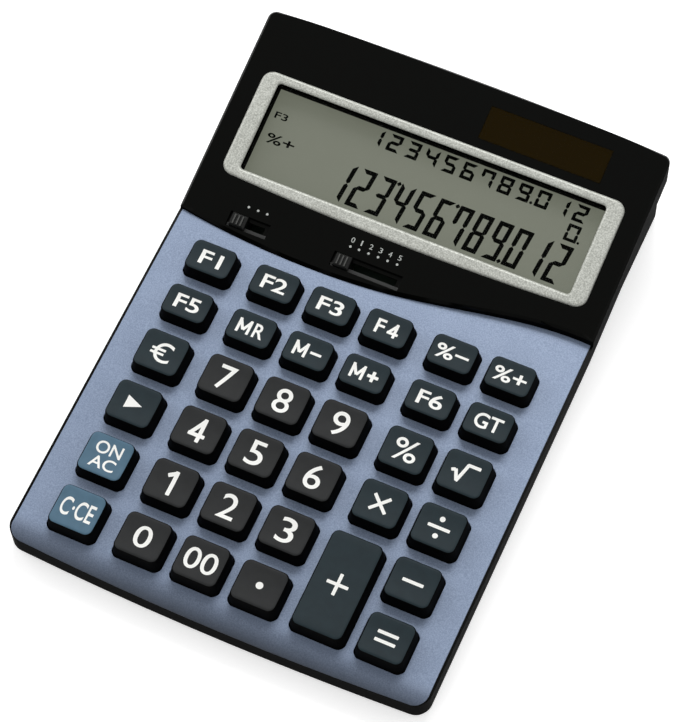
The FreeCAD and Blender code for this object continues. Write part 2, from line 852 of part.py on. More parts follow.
def bay_cuts(front, rear):
    """The floor opening for the cover, its way out through the rear wall, and the cell's pocket."""
    half, wide = cover_width / 2 + cover_gap, cover_width / 2 + cover_tongue + cover_gap
    lip_front = rear - cover_lip_thickness - cover_gap
    y = cell_y(front)
    contact, half_contact = bay_x + cell_radius, contact_width / 2 + contact_play
    x0, x1 = contact - contact_play, contact + contact_thickness + contact_play
    return [
        box(bay_x - half, bay_x + half, front - cover_gap, case_rear, 0, floor_level),
        box(bay_x - wide, bay_x + wide, lip_front, case_rear, 0, base_level + cover_lip_height + cover_gap),
        cylinder(bay_x, y, cover_top, cell_top + bay_roof_gap, cell_radius + cell_room),
        box(x0, x1, y - half_contact, y + half_contact, cover_top, bay_top + 1),
    ]


def cell_y(front):
    return front + cell_from_front


def battery_cover(shell, front, rear):
    half, wide = cover_width / 2, cover_width / 2 + cover_tongue
    cover = box(bay_x - half, bay_x + half, front, case_rear, base_level, cover_top)
    tongue_low = floor_level + tongue_play
    cover = cover.fuse(box(bay_x - wide, bay_x + wide, front, case_rear, tongue_low, cover_top))
    lip_front = rear - cover_lip_thickness
    lip = box(bay_x - wide, bay_x + wide, lip_front, case_rear, base_level, base_level + cover_lip_height)
    cover = cover.fuse(lip).common(shell)
    for n in range(grip_count):
        y = rear - cover_lip_thickness - (n + 1.5) * grip_pitch
        top = base_level + grip_depth
        cover = cover.cut(box(bay_x - half / 2, bay_x + half / 2, y, y + grip_pitch / 2, 0, top))
    return cover.removeSplitter()


def battery_cell(front):
    return cylinder(bay_x, cell_y(front), cover_top + cover_gap, cell_top, cell_radius)


def battery_contacts(front):
    y = cell_y(front)
    length, roof = cell_radius * 1.5, cell_top + bay_roof_gap
    leaf = leaf_spring(bay_x, y, roof, cell_top, length, contact_width, contact_thickness)
    x, half = bay_x + cell_radius, contact_width / 2
    low, top = cover_top + cover_gap * 4, bay_top + contact_thickness
    strip = box(x, x + contact_thickness, y - half, y + half, low, top)
    tab = box(x, x + contact_width, y - half, y + half, bay_top, top)
    return Part.makeCompound([leaf, strip.fuse(tab).removeSplitter()])


def hookup_leads(front):
    """Flat two-core leads from the solar cell and from the battery's side contact to the display board."""
    x, y = solar_middle, solar_low + lead_from_edge
    cell_back = -housing_wall - cell_thickness
    solar = box(x, x + lead_width, y, y + lead_thickness, -display_board_top, cell_back)
    x, y = bay_x + cell_radius + contact_thickness * 2, cell_y(front)
    battery = box(x, x + lead_width, y, y + lead_thickness, bay_top + contact_thickness, reach)
    battery = battery.common(in_desk(below_display(display_board_bottom)))
    return Part.makeCompound([in_desk(on_display(solar)), battery])


def case_screws():
    screws = []
    for x, y, top in screw_places():
        seat = top - post_web
        head = post(x, y, seat - screw_head_height, seat, screw_head_radius)
        screws.append(head.fuse(post(x, y, seat, seat + screw_length, screw_radius)))
    return Part.makeCompound(screws)


def foot_block(x, y):
    w, d = foot_width / 2, foot_length / 2
    return box(x - w, x + w, y - d, y + d, 0, foot_height + foot_seat)


def rubber_feet():
    return Part.makeCompound([foot_block(x, y) for x, y in foot_places()])


def under_desk_level(level):
    """All that lies lower than a level above the desk."""
    under = box(-reach * 3, reach * 3, -reach * 3, reach * 3, -reach, level)
    return placed(under, desk_frame.inverse())


def lower_case():
    outer = tub_block(tub_inset)
    parting = above_skirt_edge(0)
    flange = case_block(flange_inset, -reach / 2, reach / 2).common(above_skirt_edge(flange_thickness))
    body = outer.fuse(flange).cut(parting)
    body = body.cut(under_desk_level(base_level))
    body = body.cut(tub_block(tub_inset + tub_wall).cut(under_desk_level(floor_level)))
    inset = skirt_wall + tongue_gap
    tongue = case_block(inset, -reach / 2, reach / 2)
    tongue = tongue.cut(case_block(inset + tongue_thickness, -reach, reach))
    tongue = tongue.common(parting).cut(above_skirt_edge(-tongue_height))
    body = body.fuse(tongue)
    tab_low = -skirt_depth
    tab_high = tab_low + tab_height
    body = body.fuse(front_ring(inset + tongue_thickness, inset, 0, tab_low, tab_high))
    nib = tab_high - tab_nib
    body = in_desk(body.fuse(front_ring(inset + tongue_thickness, skirt_wall - tab_bite, 0, nib, tab_high)))
    shell = in_desk(outer)
    front, rear = bay_front, wall_foot()
    for x, y, top in screw_places():
        body = body.fuse(post(x, y, base_level, top, lower_post_radius).common(shell))
    body = body.fuse(bay_walls(shell, front, rear))
    for x, y, top in screw_places():
        body = body.cut(post(x, y, 0, top - post_web, screw_head_radius + recess_gap))
        body = body.cut(post(x, y, 0, top + 1, screw_radius + screw_hole_gap))
    body = body.cut(bay_cuts(front, rear))
    return body.cut(rubber_feet()).removeSplitter()


shell = in_desk(tub_block(tub_inset))
bay_rear = wall_foot()
parts = {
    "upper_case": upper_case(),
    "lower_case": lower_case(),
    "keyboard_plate": keyboard_plate(),
    "display_bezel": display_bezel(),
    "display_window": display_window(),
    "lcd_glass": lcd_glass(),
    "lcd_holder": lcd_holder(),
    "lcd_contact_strip": lcd_contact_strip(),
    "display_board": display_board(),
    "solar_window": solar_window(),
    "solar_cell": solar_cell(),
    "rounding_switch_knob": switch_knob(rounding_knob_x),
    "rounding_switch_wiper": switch_wiper(rounding_knob_x),
    "decimal_switch_knob": switch_knob(decimal_knob_x),
    "decimal_switch_wiper": switch_wiper(decimal_knob_x),
    "key_mat": key_mat(),
    "key_board": key_board(),
    "board_ribbon": board_ribbon(),
    "controller_chip": controller_chip(),
    "hookup_leads": hookup_leads(bay_front),
    "battery_cell": battery_cell(bay_front),
    "battery_contacts": battery_contacts(bay_front),
    "battery_cover": battery_cover(shell, bay_front, bay_rear),
    "rubber_feet": rubber_feet(),
    "case_screws": case_screws(),
}
for name, sides in keys.items():
    parts["key_" + name] = key_cap(sides)

for name, shape in parts.items():
    shape.exportStep("parts/" + name + ".step")
    print(name, len(shape.Solids), round(shape.Volume, 1), "valid" if shape.isValid() else "NOT VALID")
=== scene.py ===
# %% [markdown]
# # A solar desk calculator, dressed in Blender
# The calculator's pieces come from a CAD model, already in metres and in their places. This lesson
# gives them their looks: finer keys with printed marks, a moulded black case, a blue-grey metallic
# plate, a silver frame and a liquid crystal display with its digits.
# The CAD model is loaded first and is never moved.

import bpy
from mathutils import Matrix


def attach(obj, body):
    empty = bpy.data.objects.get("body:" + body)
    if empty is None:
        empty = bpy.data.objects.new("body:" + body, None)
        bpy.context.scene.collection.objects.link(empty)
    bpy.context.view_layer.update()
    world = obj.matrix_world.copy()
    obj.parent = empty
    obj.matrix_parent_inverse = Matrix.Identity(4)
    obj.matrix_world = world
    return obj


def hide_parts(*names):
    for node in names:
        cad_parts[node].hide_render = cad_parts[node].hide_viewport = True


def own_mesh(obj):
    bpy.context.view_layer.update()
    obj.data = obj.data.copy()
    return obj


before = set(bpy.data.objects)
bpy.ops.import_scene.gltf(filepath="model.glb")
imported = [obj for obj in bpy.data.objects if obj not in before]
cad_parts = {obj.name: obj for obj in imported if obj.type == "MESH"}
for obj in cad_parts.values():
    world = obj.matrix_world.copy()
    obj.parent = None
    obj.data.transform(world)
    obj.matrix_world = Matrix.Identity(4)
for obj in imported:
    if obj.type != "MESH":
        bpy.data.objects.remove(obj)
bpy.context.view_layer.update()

import math

import bmesh
import bpy
from mathutils import Matrix, Vector

MM = 0.001

# %% [markdown]
# ## Two drawing boards
# The keyboard leans back 2.5 degrees on the desk, and the display housing leans 11.75 degrees more.
# A key is easier to model on a level board, so each piece is drawn in millimetres square to its own
# surface and then turned into place. Two matrices do that. Applying the turn to the mesh leaves the
# object itself at the origin, as the CAD nodes are.

# %% The keyboard's and the display's own frames
KEYBOARD_ORIGIN = Vector((0, -101.9646, 11.6914)) * MM
DESK_LEAN = math.radians(2.5)
HOUSING_START = 120.5
HOUSING_LEAN = math.radians(11.75)

on_keyboard = Matrix.Translation(KEYBOARD_ORIGIN) @ Matrix.Rotation(DESK_LEAN, 4, "X")
on_display = (
    on_keyboard
    @ Matrix.Translation((0, HOUSING_START * MM, 0))
    @ Matrix.Rotation(HOUSING_LEAN, 4, "X")
)


def leave_edit():
    """Goes back to object mode, which writes what was edited into the mesh."""
    if bpy.context.mode != "OBJECT":
        bpy.ops.object.mode_set(mode="OBJECT")


def deselect():
    """Selects nothing."""
    leave_edit()
    bpy.ops.object.select_all(action="DESELECT")


def pick(piece):
    """Makes one piece the only selected and active one."""
    deselect()
    piece.select_set(True)
    bpy.context.view_layer.objects.active = piece


def edit_all(piece):
    """Opens a piece in edit mode with all of it selected."""
    pick(piece)
    bpy.ops.object.mode_set(mode="EDIT")
    bpy.ops.mesh.select_all(action="SELECT")


def at(x, y, degrees=0):
    """A place on a drawing board in millimetres, turned by some degrees."""
    turn = Matrix.Rotation(math.radians(degrees), 4, "Z")
    return Matrix.Translation((x * MM, y * MM, 0)) @ turn


def settle(piece, board):
    """Turns a finished piece from its drawing board into place, in its mesh."""
    pick(piece)
    piece.matrix_world = board @ piece.matrix_world
    bpy.ops.object.transform_apply(location=True, rotation=True, scale=True)
    return piece


print("display board starts at", [round(v / MM, 1) for v in on_display.translation])

# %% [markdown]
# ## Choosing faces in code
# With no mouse, faces and edges are chosen by where they are. One helper opens edit mode, clears
# the selection and selects what passes a test on its middle, in millimetres, and its direction.
# Most pieces start as a block between two heights, whose upright edges are rounded first.

# %% A helper that selects by place, and a block to start from
TOLERANCE = 0.0001 * MM


def choose(piece, kind, test):
    """Selects the vertices, edges or faces whose middle and direction pass the test."""
    if bpy.context.mode != "EDIT_MESH":
        pick(piece)
        bpy.ops.object.mode_set(mode="EDIT")
    bpy.ops.mesh.select_mode(type=kind)
    bpy.ops.mesh.select_all(action="DESELECT")
    mesh = bmesh.from_edit_mesh(piece.data)
    count = 0
    for element in {"VERT": mesh.verts, "EDGE": mesh.edges, "FACE": mesh.faces}[kind]:
        if kind == "VERT":
            middle, way = element.co, element.normal
        elif kind == "EDGE":
            ends = [v.co for v in element.verts]
            middle, way = (ends[0] + ends[1]) / 2, (ends[1] - ends[0]).normalized()
        else:
            middle, way = element.calc_center_median(), element.normal
        if test(middle / MM, way):
            element.select_set(True)
            count += 1
    mesh.select_flush_mode()
    bmesh.update_edit_mesh(piece.data)
    return count


def upright(middle, way):
    """Whether an edge stands upright."""
    return abs(way.z) > 0.9


def block(name, sides, low, high):
    """A box between left, right, front and rear, and two heights, in millimetres."""
    left, right, front, rear = sides
    deselect()
    bpy.ops.mesh.primitive_cube_add(size=1)
    piece = bpy.context.object
    piece.name = name
    piece.scale = Vector((right - left, rear - front, high - low)) * MM
    piece.location = Vector((left + right, front + rear, low + high)) * MM / 2
    bpy.ops.object.transform_apply(location=True, rotation=True, scale=True)
    return piece


def smooth(piece, degrees):
    """Shades a piece smooth, except where faces meet at a steeper angle."""
    pick(piece)
    bpy.ops.object.shade_smooth_by_angle(angle=math.radians(degrees))
    return piece


print("cuts close within", TOLERANCE / MM, "mm")

# %% [markdown]
# ## Materials start from the real thing
# A colour picked off a screen is sRGB, but the renderer works in linear light, so one function
# turns a hex colour into linear. One more function adds a node with its settings and its links:
# a value that is another node's socket is linked, anything else is typed into the socket. What is
# the same all over a piece is typed straight into the shader. Most finishes end in the same way: two
# tones that blend into each other, and a relief too fine to model.


# %% Colour and node helpers
def linear(hex_colour):
    """An sRGB hex colour as linear RGBA."""
    parts = [int(hex_colour[i : i + 2], 16) / 255 for i in (1, 3, 5)]
    return [c / 12.92 if c <= 0.04045 else ((c + 0.055) / 1.055) ** 2.4 for c in parts] + [1.0]


def add(material, kind, inputs=None, **options):
    """Adds a node to a material, sets its options and fills or links its inputs."""
    tree = material.node_tree
    node = tree.nodes.new(kind)
    for option, value in options.items():
        setattr(node, option, value)
    for name, value in (inputs or {}).items():
        if isinstance(value, bpy.types.NodeSocket):
            tree.links.new(value, node.inputs[name])
        else:
            node.inputs[name].default_value = value
    return node


def type_in(material, **constants):
    """Types numbers and hex colours into the sockets of a material's shader."""
    shader = material.node_tree.nodes["Principled BSDF"]
    for socket, value in constants.items():
        if isinstance(value, str):
            value = linear(value)
        shader.inputs[socket.replace("_", " ")].default_value = value


def new_material(name, **constants):
    """A material with a Principled shader and its constant values."""
    material = bpy.data.materials.new(name)
    material.use_nodes = True
    type_in(material, **constants)
    return material


def per_mm(size):
    """The texture scale whose features are about this many millimetres across."""
    return 1 / (size * MM)


def feed(material, socket, output):
    """Links a node's output to a socket of the material's shader."""
    shader = material.node_tree.nodes["Principled BSDF"]
    material.node_tree.links.new(output, shader.inputs[socket])


def two_tones(material, share, dark, light, relief=None, depth=0):
    """Colours a material between two tones by a share, and may raise a relief in its skin."""
    tones = {0: share, 6: linear(dark), 7: linear(light)}
    tone = add(material, "ShaderNodeMix", tones, data_type="RGBA")
    feed(material, "Base Color", tone.outputs[2])
    if relief:
        skin = {"Height": relief, "Strength": 1.0, "Distance": depth * MM}
        feed(material, "Normal", add(material, "ShaderNodeBump", skin).outputs["Normal"])


print("linear mid grey", [round(c, 3) for c in linear("#808080")[:3]])

# %% [markdown]
# ## Moulded plastics
# The case is ABS from a polished tool: black, with a soft sheen and a faint waviness that breaks up
# reflections. The base is the same ABS from a spark-eroded tool, so it is matt and finely grained.
# The grain of a real case is about 0.1 mm, too fine for this picture, so it is drawn at 0.35 mm.
# ABS has an IOR of about 1.53. In a white room that mirrors enough light to turn black into grey,
# so the dark finishes take a lower IOR and look as deep as the real ones.

# %% Moulded plastic, from its colours, gloss and grain
PATCH = 3


def moulded_plastic(name, dark, light, roughness, grain, depth, ior=1.53):
    """Plastic whose colour wanders between two tones; the skin's grain and depth are in mm."""
    material = new_material(name, Roughness=roughness, IOR=ior)
    place = add(material, "ShaderNodeTexCoord").outputs["Object"]
    patches = {"Vector": place, "Scale": per_mm(PATCH), "Detail": 3}
    wander = add(material, "ShaderNodeTexNoise", patches).outputs["Fac"]
    grains = {"Vector": place, "Scale": per_mm(grain), "Detail": 2}
    skin = add(material, "ShaderNodeTexNoise", grains).outputs["Fac"]
    two_tones(material, wander, dark, light, skin, depth)
    return material


# ABS from a polished tool: deep black with a soft sheen, slightly wavy
case_gloss_abs = moulded_plastic("abs_gloss_black", "#030302", "#040503", 0.25, 2.5, 0.005, 1.2)
# ABS from a textured tool: matt black that swallows light, on walls and underneath
base_matt_abs = moulded_plastic("abs_textured_black", "#020202", "#040404", 0.7, 0.35, 0.02, 1.08)
# Digit keys: black ABS with a satin top
digit_abs = moulded_plastic("abs_satin_black", "#191A1B", "#242627", 0.6, 0.5, 0.015, 1.35)
# Function keys: slate black ABS, as satin as the digits
function_abs = moulded_plastic("abs_satin_slate", "#122026", "#1B2C32", 0.6, 0.5, 0.015, 1.35)
# Clear keys: teal ABS, the only colour on the keyboard
clear_abs = moulded_plastic("abs_satin_teal", "#466375", "#54748A", 0.6, 0.5, 0.015, 1.35)
# Skirts under the key tops: matt black ABS, so dark that a top seems to float
skirt_abs = moulded_plastic("abs_skirt_black", "#010101", "#020202", 0.7, 1.5, 0.004, 1.12)
# Switch knobs: black ABS, smoother than the keys from handling
knob_abs = moulded_plastic("abs_knob_black", "#0C0D0C", "#131412", 0.35, 0.6, 0.01, 1.4)
# The front half of a switch track: ABS in a lighter grey, a painted highlight for its lit front
track_painted_highlight = moulded_plastic("abs_track_painted_highlight", "#1D1E1D", "#262726", 0.6, 0.4, 0.015)
# Crests of the knobs' ribs: lighter grey ABS, a painted highlight where the ridges catch the light
rib_crest_painted_highlight = moulded_plastic("abs_rib_painted_highlight", "#3A3B39", "#464744", 0.5, 0.5, 0.01)
# Holder round the display glass: white high-impact polystyrene
holder_hips = moulded_plastic("hips_white", "#DEDDD8", "#E8E7E2", 0.5, 1.0, 0.01)
print("the case's plastics", case_gloss_abs.name, base_matt_abs.name)

# %% [markdown]
# ## Lacquers with metal flake
# The blue-grey plate and the silver frame are sprayed with lacquer that carries aluminium flake.
# Flakes lie at slightly different angles, so the colour sparkles between lighter and darker specks.
# Real flakes are about 0.03 mm; here a speck is about 0.4 mm so that it shows. A faint broad cloud
# stands for the spray's uneven lay.

# %% Flake lacquer
CLOUD_SHARE = 0.2
DARKEST, LIGHTEST = 0.4, 0.8
FLAKE_RELIEF = 0.004


def flake_lacquer(name, dark, light, metallic, roughness, speck, cloud):
    """Lacquer that sparkles in specks and drifts in clouds; both sizes are in millimetres."""
    material = new_material(name, Metallic=metallic, Roughness=roughness, IOR=1.5)
    place = add(material, "ShaderNodeTexCoord").outputs["Object"]
    specks = {"Vector": place, "Scale": per_mm(speck), "Detail": 1}
    flakes = add(material, "ShaderNodeTexNoise", specks).outputs["Fac"]
    drifts = {"Vector": place, "Scale": per_mm(cloud), "Detail": 4}
    clouds = add(material, "ShaderNodeTexNoise", drifts).outputs["Fac"]
    parts = {0: clouds, 1: CLOUD_SHARE, 2: flakes}
    both = add(material, "ShaderNodeMath", parts, operation="MULTIPLY_ADD").outputs[0]
    middle = {"Value": both, "From Min": DARKEST, "From Max": LIGHTEST}
    spread = add(material, "ShaderNodeMapRange", middle).outputs["Result"]
    two_tones(material, spread, dark, light, flakes, FLAKE_RELIEF)
    return material


# Blue-grey aluminium-flake lacquer on the keyboard plate
plate_lacquer = flake_lacquer("lacquer_blue_flake", "#74839C", "#8D9CB5", 0.25, 0.42, 0.4, 12)
# Silver aluminium-flake lacquer on the display frame
bezel_lacquer = flake_lacquer("lacquer_silver_flake", "#A5A79F", "#D7D9D1", 0.2, 0.4, 0.5, 12)
print("lacquers", plate_lacquer.name, bezel_lacquer.name)

# %% [markdown]
# ## Painted shade on the plate's front lip
# The plate rolls down at the front. The lip turns away from the lamps, so it would darken towards
# the
# edge. That shade is painted: a multiplier that grows with the distance from the front edge darkens
# the lacquer's colour in the material, because the bend itself is too small to shade so evenly.

# %% Painted shade towards the front edge
LIP_LENGTH, LIP_PAINTED_SHADE = 10, 0.15

# Painted shade: the lacquer's colour is multiplied by a share that is smallest at the front edge and
# full past the lip
tone = plate_lacquer.node_tree.nodes["Principled BSDF"].inputs["Base Color"].links[0].from_socket
place = add(plate_lacquer, "ShaderNodeTexCoord").outputs["Object"]
along = add(plate_lacquer, "ShaderNodeSeparateXYZ", {"Vector": place}).outputs["Y"]
front = on_keyboard.translation.y
lip = {"Value": along, "From Min": front, "From Max": front + LIP_LENGTH * MM, "To Min": LIP_PAINTED_SHADE}
roll = add(plate_lacquer, "ShaderNodeMapRange", lip).outputs["Result"]
shade = add(plate_lacquer, "ShaderNodeVectorMath", {0: tone, 1: roll}, operation="MULTIPLY")
feed(plate_lacquer, "Base Color", shade.outputs[0])
print("the lip darkens over", LIP_LENGTH, "mm")

# %% [markdown]
# ## Glass, panes and the display
# The display is a sandwich of glass with a grey-green reflector behind it, so from outside it is a
# flat, faintly mottled grey-green. A weak emission of its own colour is painted light: it makes the
# display brighter than the case round it and lifts the shade of its recess, so it looks evenly lit.
# The pane over it is clear acrylic: nearly all of the light goes straight through, which an alpha
# close to zero gives without darkening what lies below. The solar pane is acrylic tinted deep brown,
# and the cell behind it has thin bright lines between its strips.

# %% Display, panes and solar cell
STRIP_PITCH = 10.264
LINE_START, LINE_FULL = 0.95, 0.97

# Glass over a brushed reflector: flat grey-green, made brighter than the case round it by painted
# light
display_glass = moulded_plastic("lcd_reflector_grey_green", "#42443B", "#464840", 0.5, 0.8, 0.002)
# Painted light: a weak glow in the reflector's own colour, so the display looks evenly lit in its
# recess
type_in(display_glass, Emission_Color="#7B7F70", Emission_Strength=0.67)
# Liquid crystal that is switched on: dark and without a shine of its own
digit_dark = new_material("lcd_segment_dark", Roughness=0.6, IOR=1.1, Base_Color="#030402")
# Polished acrylic, clear: only its highlights show
clear_acrylic = new_material(
    "acrylic_clear", Roughness=0.04, IOR=1.3, Alpha=0.05, Base_Color="#101210"
)
# Polished acrylic, tinted: deep brown, and the cell's lines glimmer through
brown_acrylic = new_material(
    "acrylic_smoked_brown", Roughness=0.12, IOR=1.15, Alpha=0.8, Base_Color="#201703"
)
# Silicon film on glass: dark red-brown strips; a wave texture repeats every tau / 20 / scale
solar_film = new_material("amorphous_silicon", Roughness=0.25, IOR=1.5)
place = add(solar_film, "ShaderNodeTexCoord").outputs["Object"]
repeat = {"Vector": place, "Scale": per_mm(STRIP_PITCH) * math.tau / 20}
strips = add(solar_film, "ShaderNodeTexWave", repeat, bands_direction="X", wave_profile="SAW")
ends = {"Value": strips.outputs["Fac"], "From Min": LINE_START, "From Max": LINE_FULL}
lines = add(solar_film, "ShaderNodeMapRange", ends).outputs["Result"]
two_tones(solar_film, lines, "#3A1608", "#7A5A48")
print("the solar cell's strips are", STRIP_PITCH, "mm wide")

# %% [markdown]
# ## Inside and underneath
# Little of the inside shows, but a turned-over or exported calculator still has it: phenolic board,
# silicone mat, plated spring strip, steel cell and screws, and rubber feet.

# %% Boards, rubber, metals
# Paper phenolic board under green solder mask: half gloss
board_phenolic = moulded_plastic("board_green_mask", "#0E2A18", "#14331E", 0.55, 0.8, 0.01)
# Moulded silicone, for mat and contact strip: dull and a little milky
mat_silicone = moulded_plastic("silicone_grey", "#8C8E8C", "#969896", 0.6, 0.6, 0.01, 1.41)
strip_silicone = moulded_plastic("silicone_zebra_strip", "#A05A5A", "#B06A66", 0.6, 0.4, 0.01, 1.41)
# Pressed rubber feet: dull black with a coarse skin
foot_rubber = moulded_plastic("rubber_black", "#1A1A1A", "#222221", 0.8, 0.5, 0.03, 1.52)
# Epoxy poured over the chip: a wet-looking black drop
chip_resin = moulded_plastic("epoxy_black", "#0C0C0D", "#121213", 0.25, 1.5, 0.02)
# Polyester film of the ribbon, and PVC round the leads: smooth
ribbon_film = moulded_plastic("polyester_film", "#C9C4A8", "#D2CDB2", 0.3, 2.0, 0.003)
lead_pvc = moulded_plastic("pvc_red", "#8E1F1A", "#9A2A22", 0.4, 1.0, 0.005)


def bare_metal(name, dark, light, roughness, grain):
    """Metal whose fine scratches wander a little in tone; its IOR stays at the default."""
    material = new_material(name, Metallic=1.0, Roughness=roughness)
    place = add(material, "ShaderNodeTexCoord").outputs["Object"]
    marks = {"Vector": place, "Scale": per_mm(grain), "Detail": 3}
    scratches = add(material, "ShaderNodeTexNoise", marks).outputs["Fac"]
    two_tones(material, scratches, dark, light)
    return material


# Zinc-plated screw steel: a cool satin
screw_zinc = bare_metal("steel_zinc_plated", "#8A8A8C", "#A2A2A4", 0.35, 0.5)
# Nickel-plated cell can: brighter and warmer
cell_nickel = bare_metal("steel_nickel_plated", "#B4B4B0", "#C8C8C4", 0.25, 0.8)
# Phosphor bronze spring strip: pale copper
spring_bronze = bare_metal("phosphor_bronze", "#B08A5A", "#C49E6C", 0.35, 0.5)
print("metals", screw_zinc.name, cell_nickel.name, spring_bronze.name)

# %% [markdown]
# ## One key blank of each size, then copies
# A moulded key cap leans inwards above the plate, has a soft rim round its top and a shallow scoop
# across it, so that the finger finds its middle. A blank starts as a block: its upright edges are
# rounded, it is cut at the level of the plate and its top is drawn in, then the rim is rounded. The
# colour covers only the top and the inner half of the rim, because such keys are moulded in two
# shots. At last the top is cut into rows, and the rows are lowered along a curve, so that light runs
# along the scoop as it does on the real key. The cap stays inside the CAD key's outline, so it still
# passes through its hole in the plate.

# %% Sizes of a key, and its scoop
KEY_BOTTOM, KEY_TOP = -4.0, 6.0
FLANGE, FLANGE_TOP = 0.9, -3.0
CORNER, RIM = 2.6, 0.9
SIDE_LEAN, END_LEAN = 0.8, 0.45
SCOOP = 0.5
KEY_WIDTH, KEY_LENGTH = 16.7, 15.0
FUNCTION_LENGTH = 12.1
PLUS_WIDTH, PLUS_LENGTH = 18.6, 35.0


def key_surface(y, length):
    """Height of a key's top at a distance y from its middle row, in millimetres."""
    half = length / 2 - END_LEAN - RIM
    return min(KEY_TOP, KEY_TOP - SCOOP * (1 - (y / half) ** 2))


def cut_rows(piece, low, high, step):
    """Cuts a piece into rows across Y, so that it can follow a curve."""
    edit_all(piece)
    for n in range(int((high - low) / step) + 1):
        bpy.ops.mesh.select_all(action="SELECT")
        row = (0, (low + n * step) * MM, 0)
        bpy.ops.mesh.bisect(plane_co=row, plane_no=(0, 1, 0), threshold=TOLERANCE)
    leave_edit()


def scoop_top(cap, length):
    """Lowers the rows of a cap's top along the scoop, less and less down the rim."""
    reach = length / 2 - END_LEAN - RIM - 0.1
    cut_rows(cap, -reach, reach, reach / 6)
    for vertex in cap.data.vertices:
        share = (vertex.co.z / MM - KEY_TOP + RIM) / RIM
        if share > 0:
            vertex.co.z -= (KEY_TOP - key_surface(vertex.co.y / MM, length)) * share * MM


print("a digit key's middle lies", round(KEY_TOP - key_surface(0, KEY_LENGTH), 2), "mm deep")


# %% Key blanks
def at_top(middle, way):
    """Whether an edge or a corner lies in the flat top of a block."""
    return middle.z > KEY_TOP - 0.1


def key_blank(name, width, length):
    """A cap with a dark skirt, a coloured top and a flange that stops it under the deck."""
    hx, hy = width / 2, length / 2
    cap = block(name, (-hx, hx, -hy, hy), KEY_BOTTOM, KEY_TOP)
    choose(cap, "EDGE", upright)
    bpy.ops.mesh.bevel(offset=CORNER * MM, segments=5)
    bpy.ops.mesh.select_all(action="SELECT")
    bpy.ops.mesh.bisect(plane_co=(0, 0, 0), plane_no=(0, 0, 1), threshold=TOLERANCE)
    choose(cap, "VERT", at_top)
    taper = ((hx - SIDE_LEAN) / hx, (hy - END_LEAN) / hy, 1)
    bpy.ops.transform.resize(value=taper, center_override=(0, 0, KEY_TOP * MM))
    choose(cap, "EDGE", at_top)
    bpy.ops.mesh.bevel(offset=RIM * MM, segments=4)
    leave_edit()
    cap.data.materials.append(skirt_abs)
    cap.data.materials.append(digit_abs)
    choose(cap, "FACE", lambda middle, way: middle.z > KEY_TOP - RIM and way.z > 0.8)
    cap.active_material_index = 1
    bpy.ops.object.material_slot_assign()
    leave_edit()
    scoop_top(cap, length)
    outline = (-hx - FLANGE, hx + FLANGE, -hy - FLANGE, hy + FLANGE)
    rim = block("flange", outline, KEY_BOTTOM, FLANGE_TOP)
    pick(cap)
    rim.data.materials.append(skirt_abs)
    rim.select_set(True)
    bpy.ops.object.join()
    return smooth(cap, 40)


digit_blank = key_blank("digit_blank", KEY_WIDTH, KEY_LENGTH)
function_blank = key_blank("function_blank", KEY_WIDTH, FUNCTION_LENGTH)
plus_blank = key_blank("plus_blank", PLUS_WIDTH, PLUS_LENGTH)
blanks = (digit_blank, function_blank, plus_blank)
for blank in blanks:
    print(blank.name, len(blank.data.polygons), "faces")

# %% [markdown]
# ## Text for the keys
# The keys carry digits and signs that any calculator has, and plain letters with a number on the
# function keys. Digits and letters are text turned into a mesh. Printed type is heavier than a
# screen font, so the outline is widened by a weight first. Then the mesh is fitted to a width and a
# height in millimetres.

# %% Text fitted to a box
PRINT_UP, PRINT_DOWN = 0.03, 0.05
TYPE_SIZE = 10
HAIR, LIGHT, MEDIUM, HEAVY = 0.005, 0.006, 0.012, 0.016


def fit(piece, x, y, width, height):
    """Stretches a flat piece to a width and height and centres it, in millimetres."""
    corners = [vertex.co for vertex in piece.data.vertices]
    low = Vector((min(c.x for c in corners), min(c.y for c in corners), 0))
    high = Vector((max(c.x for c in corners), max(c.y for c in corners), 0))
    size = high - low
    sx = width * MM / size.x
    sy = height * MM / size.y
    for vertex in piece.data.vertices:
        vertex.co.x = (vertex.co.x - (low.x + high.x) / 2) * sx + x * MM
        vertex.co.y = (vertex.co.y - (low.y + high.y) / 2) * sy + y * MM
    return piece


def word(text, x, y, width, height, weight):
    """Text as a thin closed mesh, fitted to a box."""
    deselect()
    bpy.ops.object.text_add()
    piece = bpy.context.object
    piece.data.body = text
    piece.data.size = TYPE_SIZE * MM
    piece.data.offset = weight * TYPE_SIZE * MM
    piece.data.resolution_u = 10
    piece.data.extrude = (PRINT_UP + PRINT_DOWN) / 2 * MM
    bpy.ops.object.convert(target="MESH")
    piece = bpy.context.object
    edit_all(piece)
    bpy.ops.mesh.remove_doubles(threshold=0.0005 * MM)
    leave_edit()
    return fit(piece, x, y, width, height)


print("a mark stands", PRINT_UP, "mm proud and is sunk", PRINT_DOWN, "mm")

# %% [markdown]
# ## Strokes and dots for the signs
# Signs are plainer than type: bars with slightly rounded corners, each laid from one point to
# another, and round dots. Their points are given in millimetres, round the middle of the key.


# %% Bars, dots and strokes
def bar(x, y, length, thick, degrees):
    """A flat bar with slightly rounded corners."""
    half = (PRINT_UP + PRINT_DOWN) / 2
    piece = block("bar", (-length / 2, length / 2, -thick / 2, thick / 2), -half, half)
    choose(piece, "EDGE", upright)
    bpy.ops.mesh.bevel(offset=thick * 0.2 * MM, segments=3)
    return settle(piece, at(x, y, degrees))


def dot(x, y, size, corners=20, degrees=0):
    """A round dot, or a triangle with three corners."""
    deselect()
    bpy.ops.mesh.primitive_cylinder_add(
        vertices=corners, radius=size / 2 * MM, depth=(PRINT_UP + PRINT_DOWN) * MM
    )
    piece = bpy.context.object
    return settle(piece, at(x, y, degrees))


def joined(name, pieces):
    """One piece made of several, under a new name."""
    pick(pieces[0])
    for piece in pieces[1:]:
        piece.select_set(True)
    if len(pieces) > 1:
        bpy.ops.object.join()
    pieces[0].name = name
    pieces[0].data.name = name
    return pieces[0]


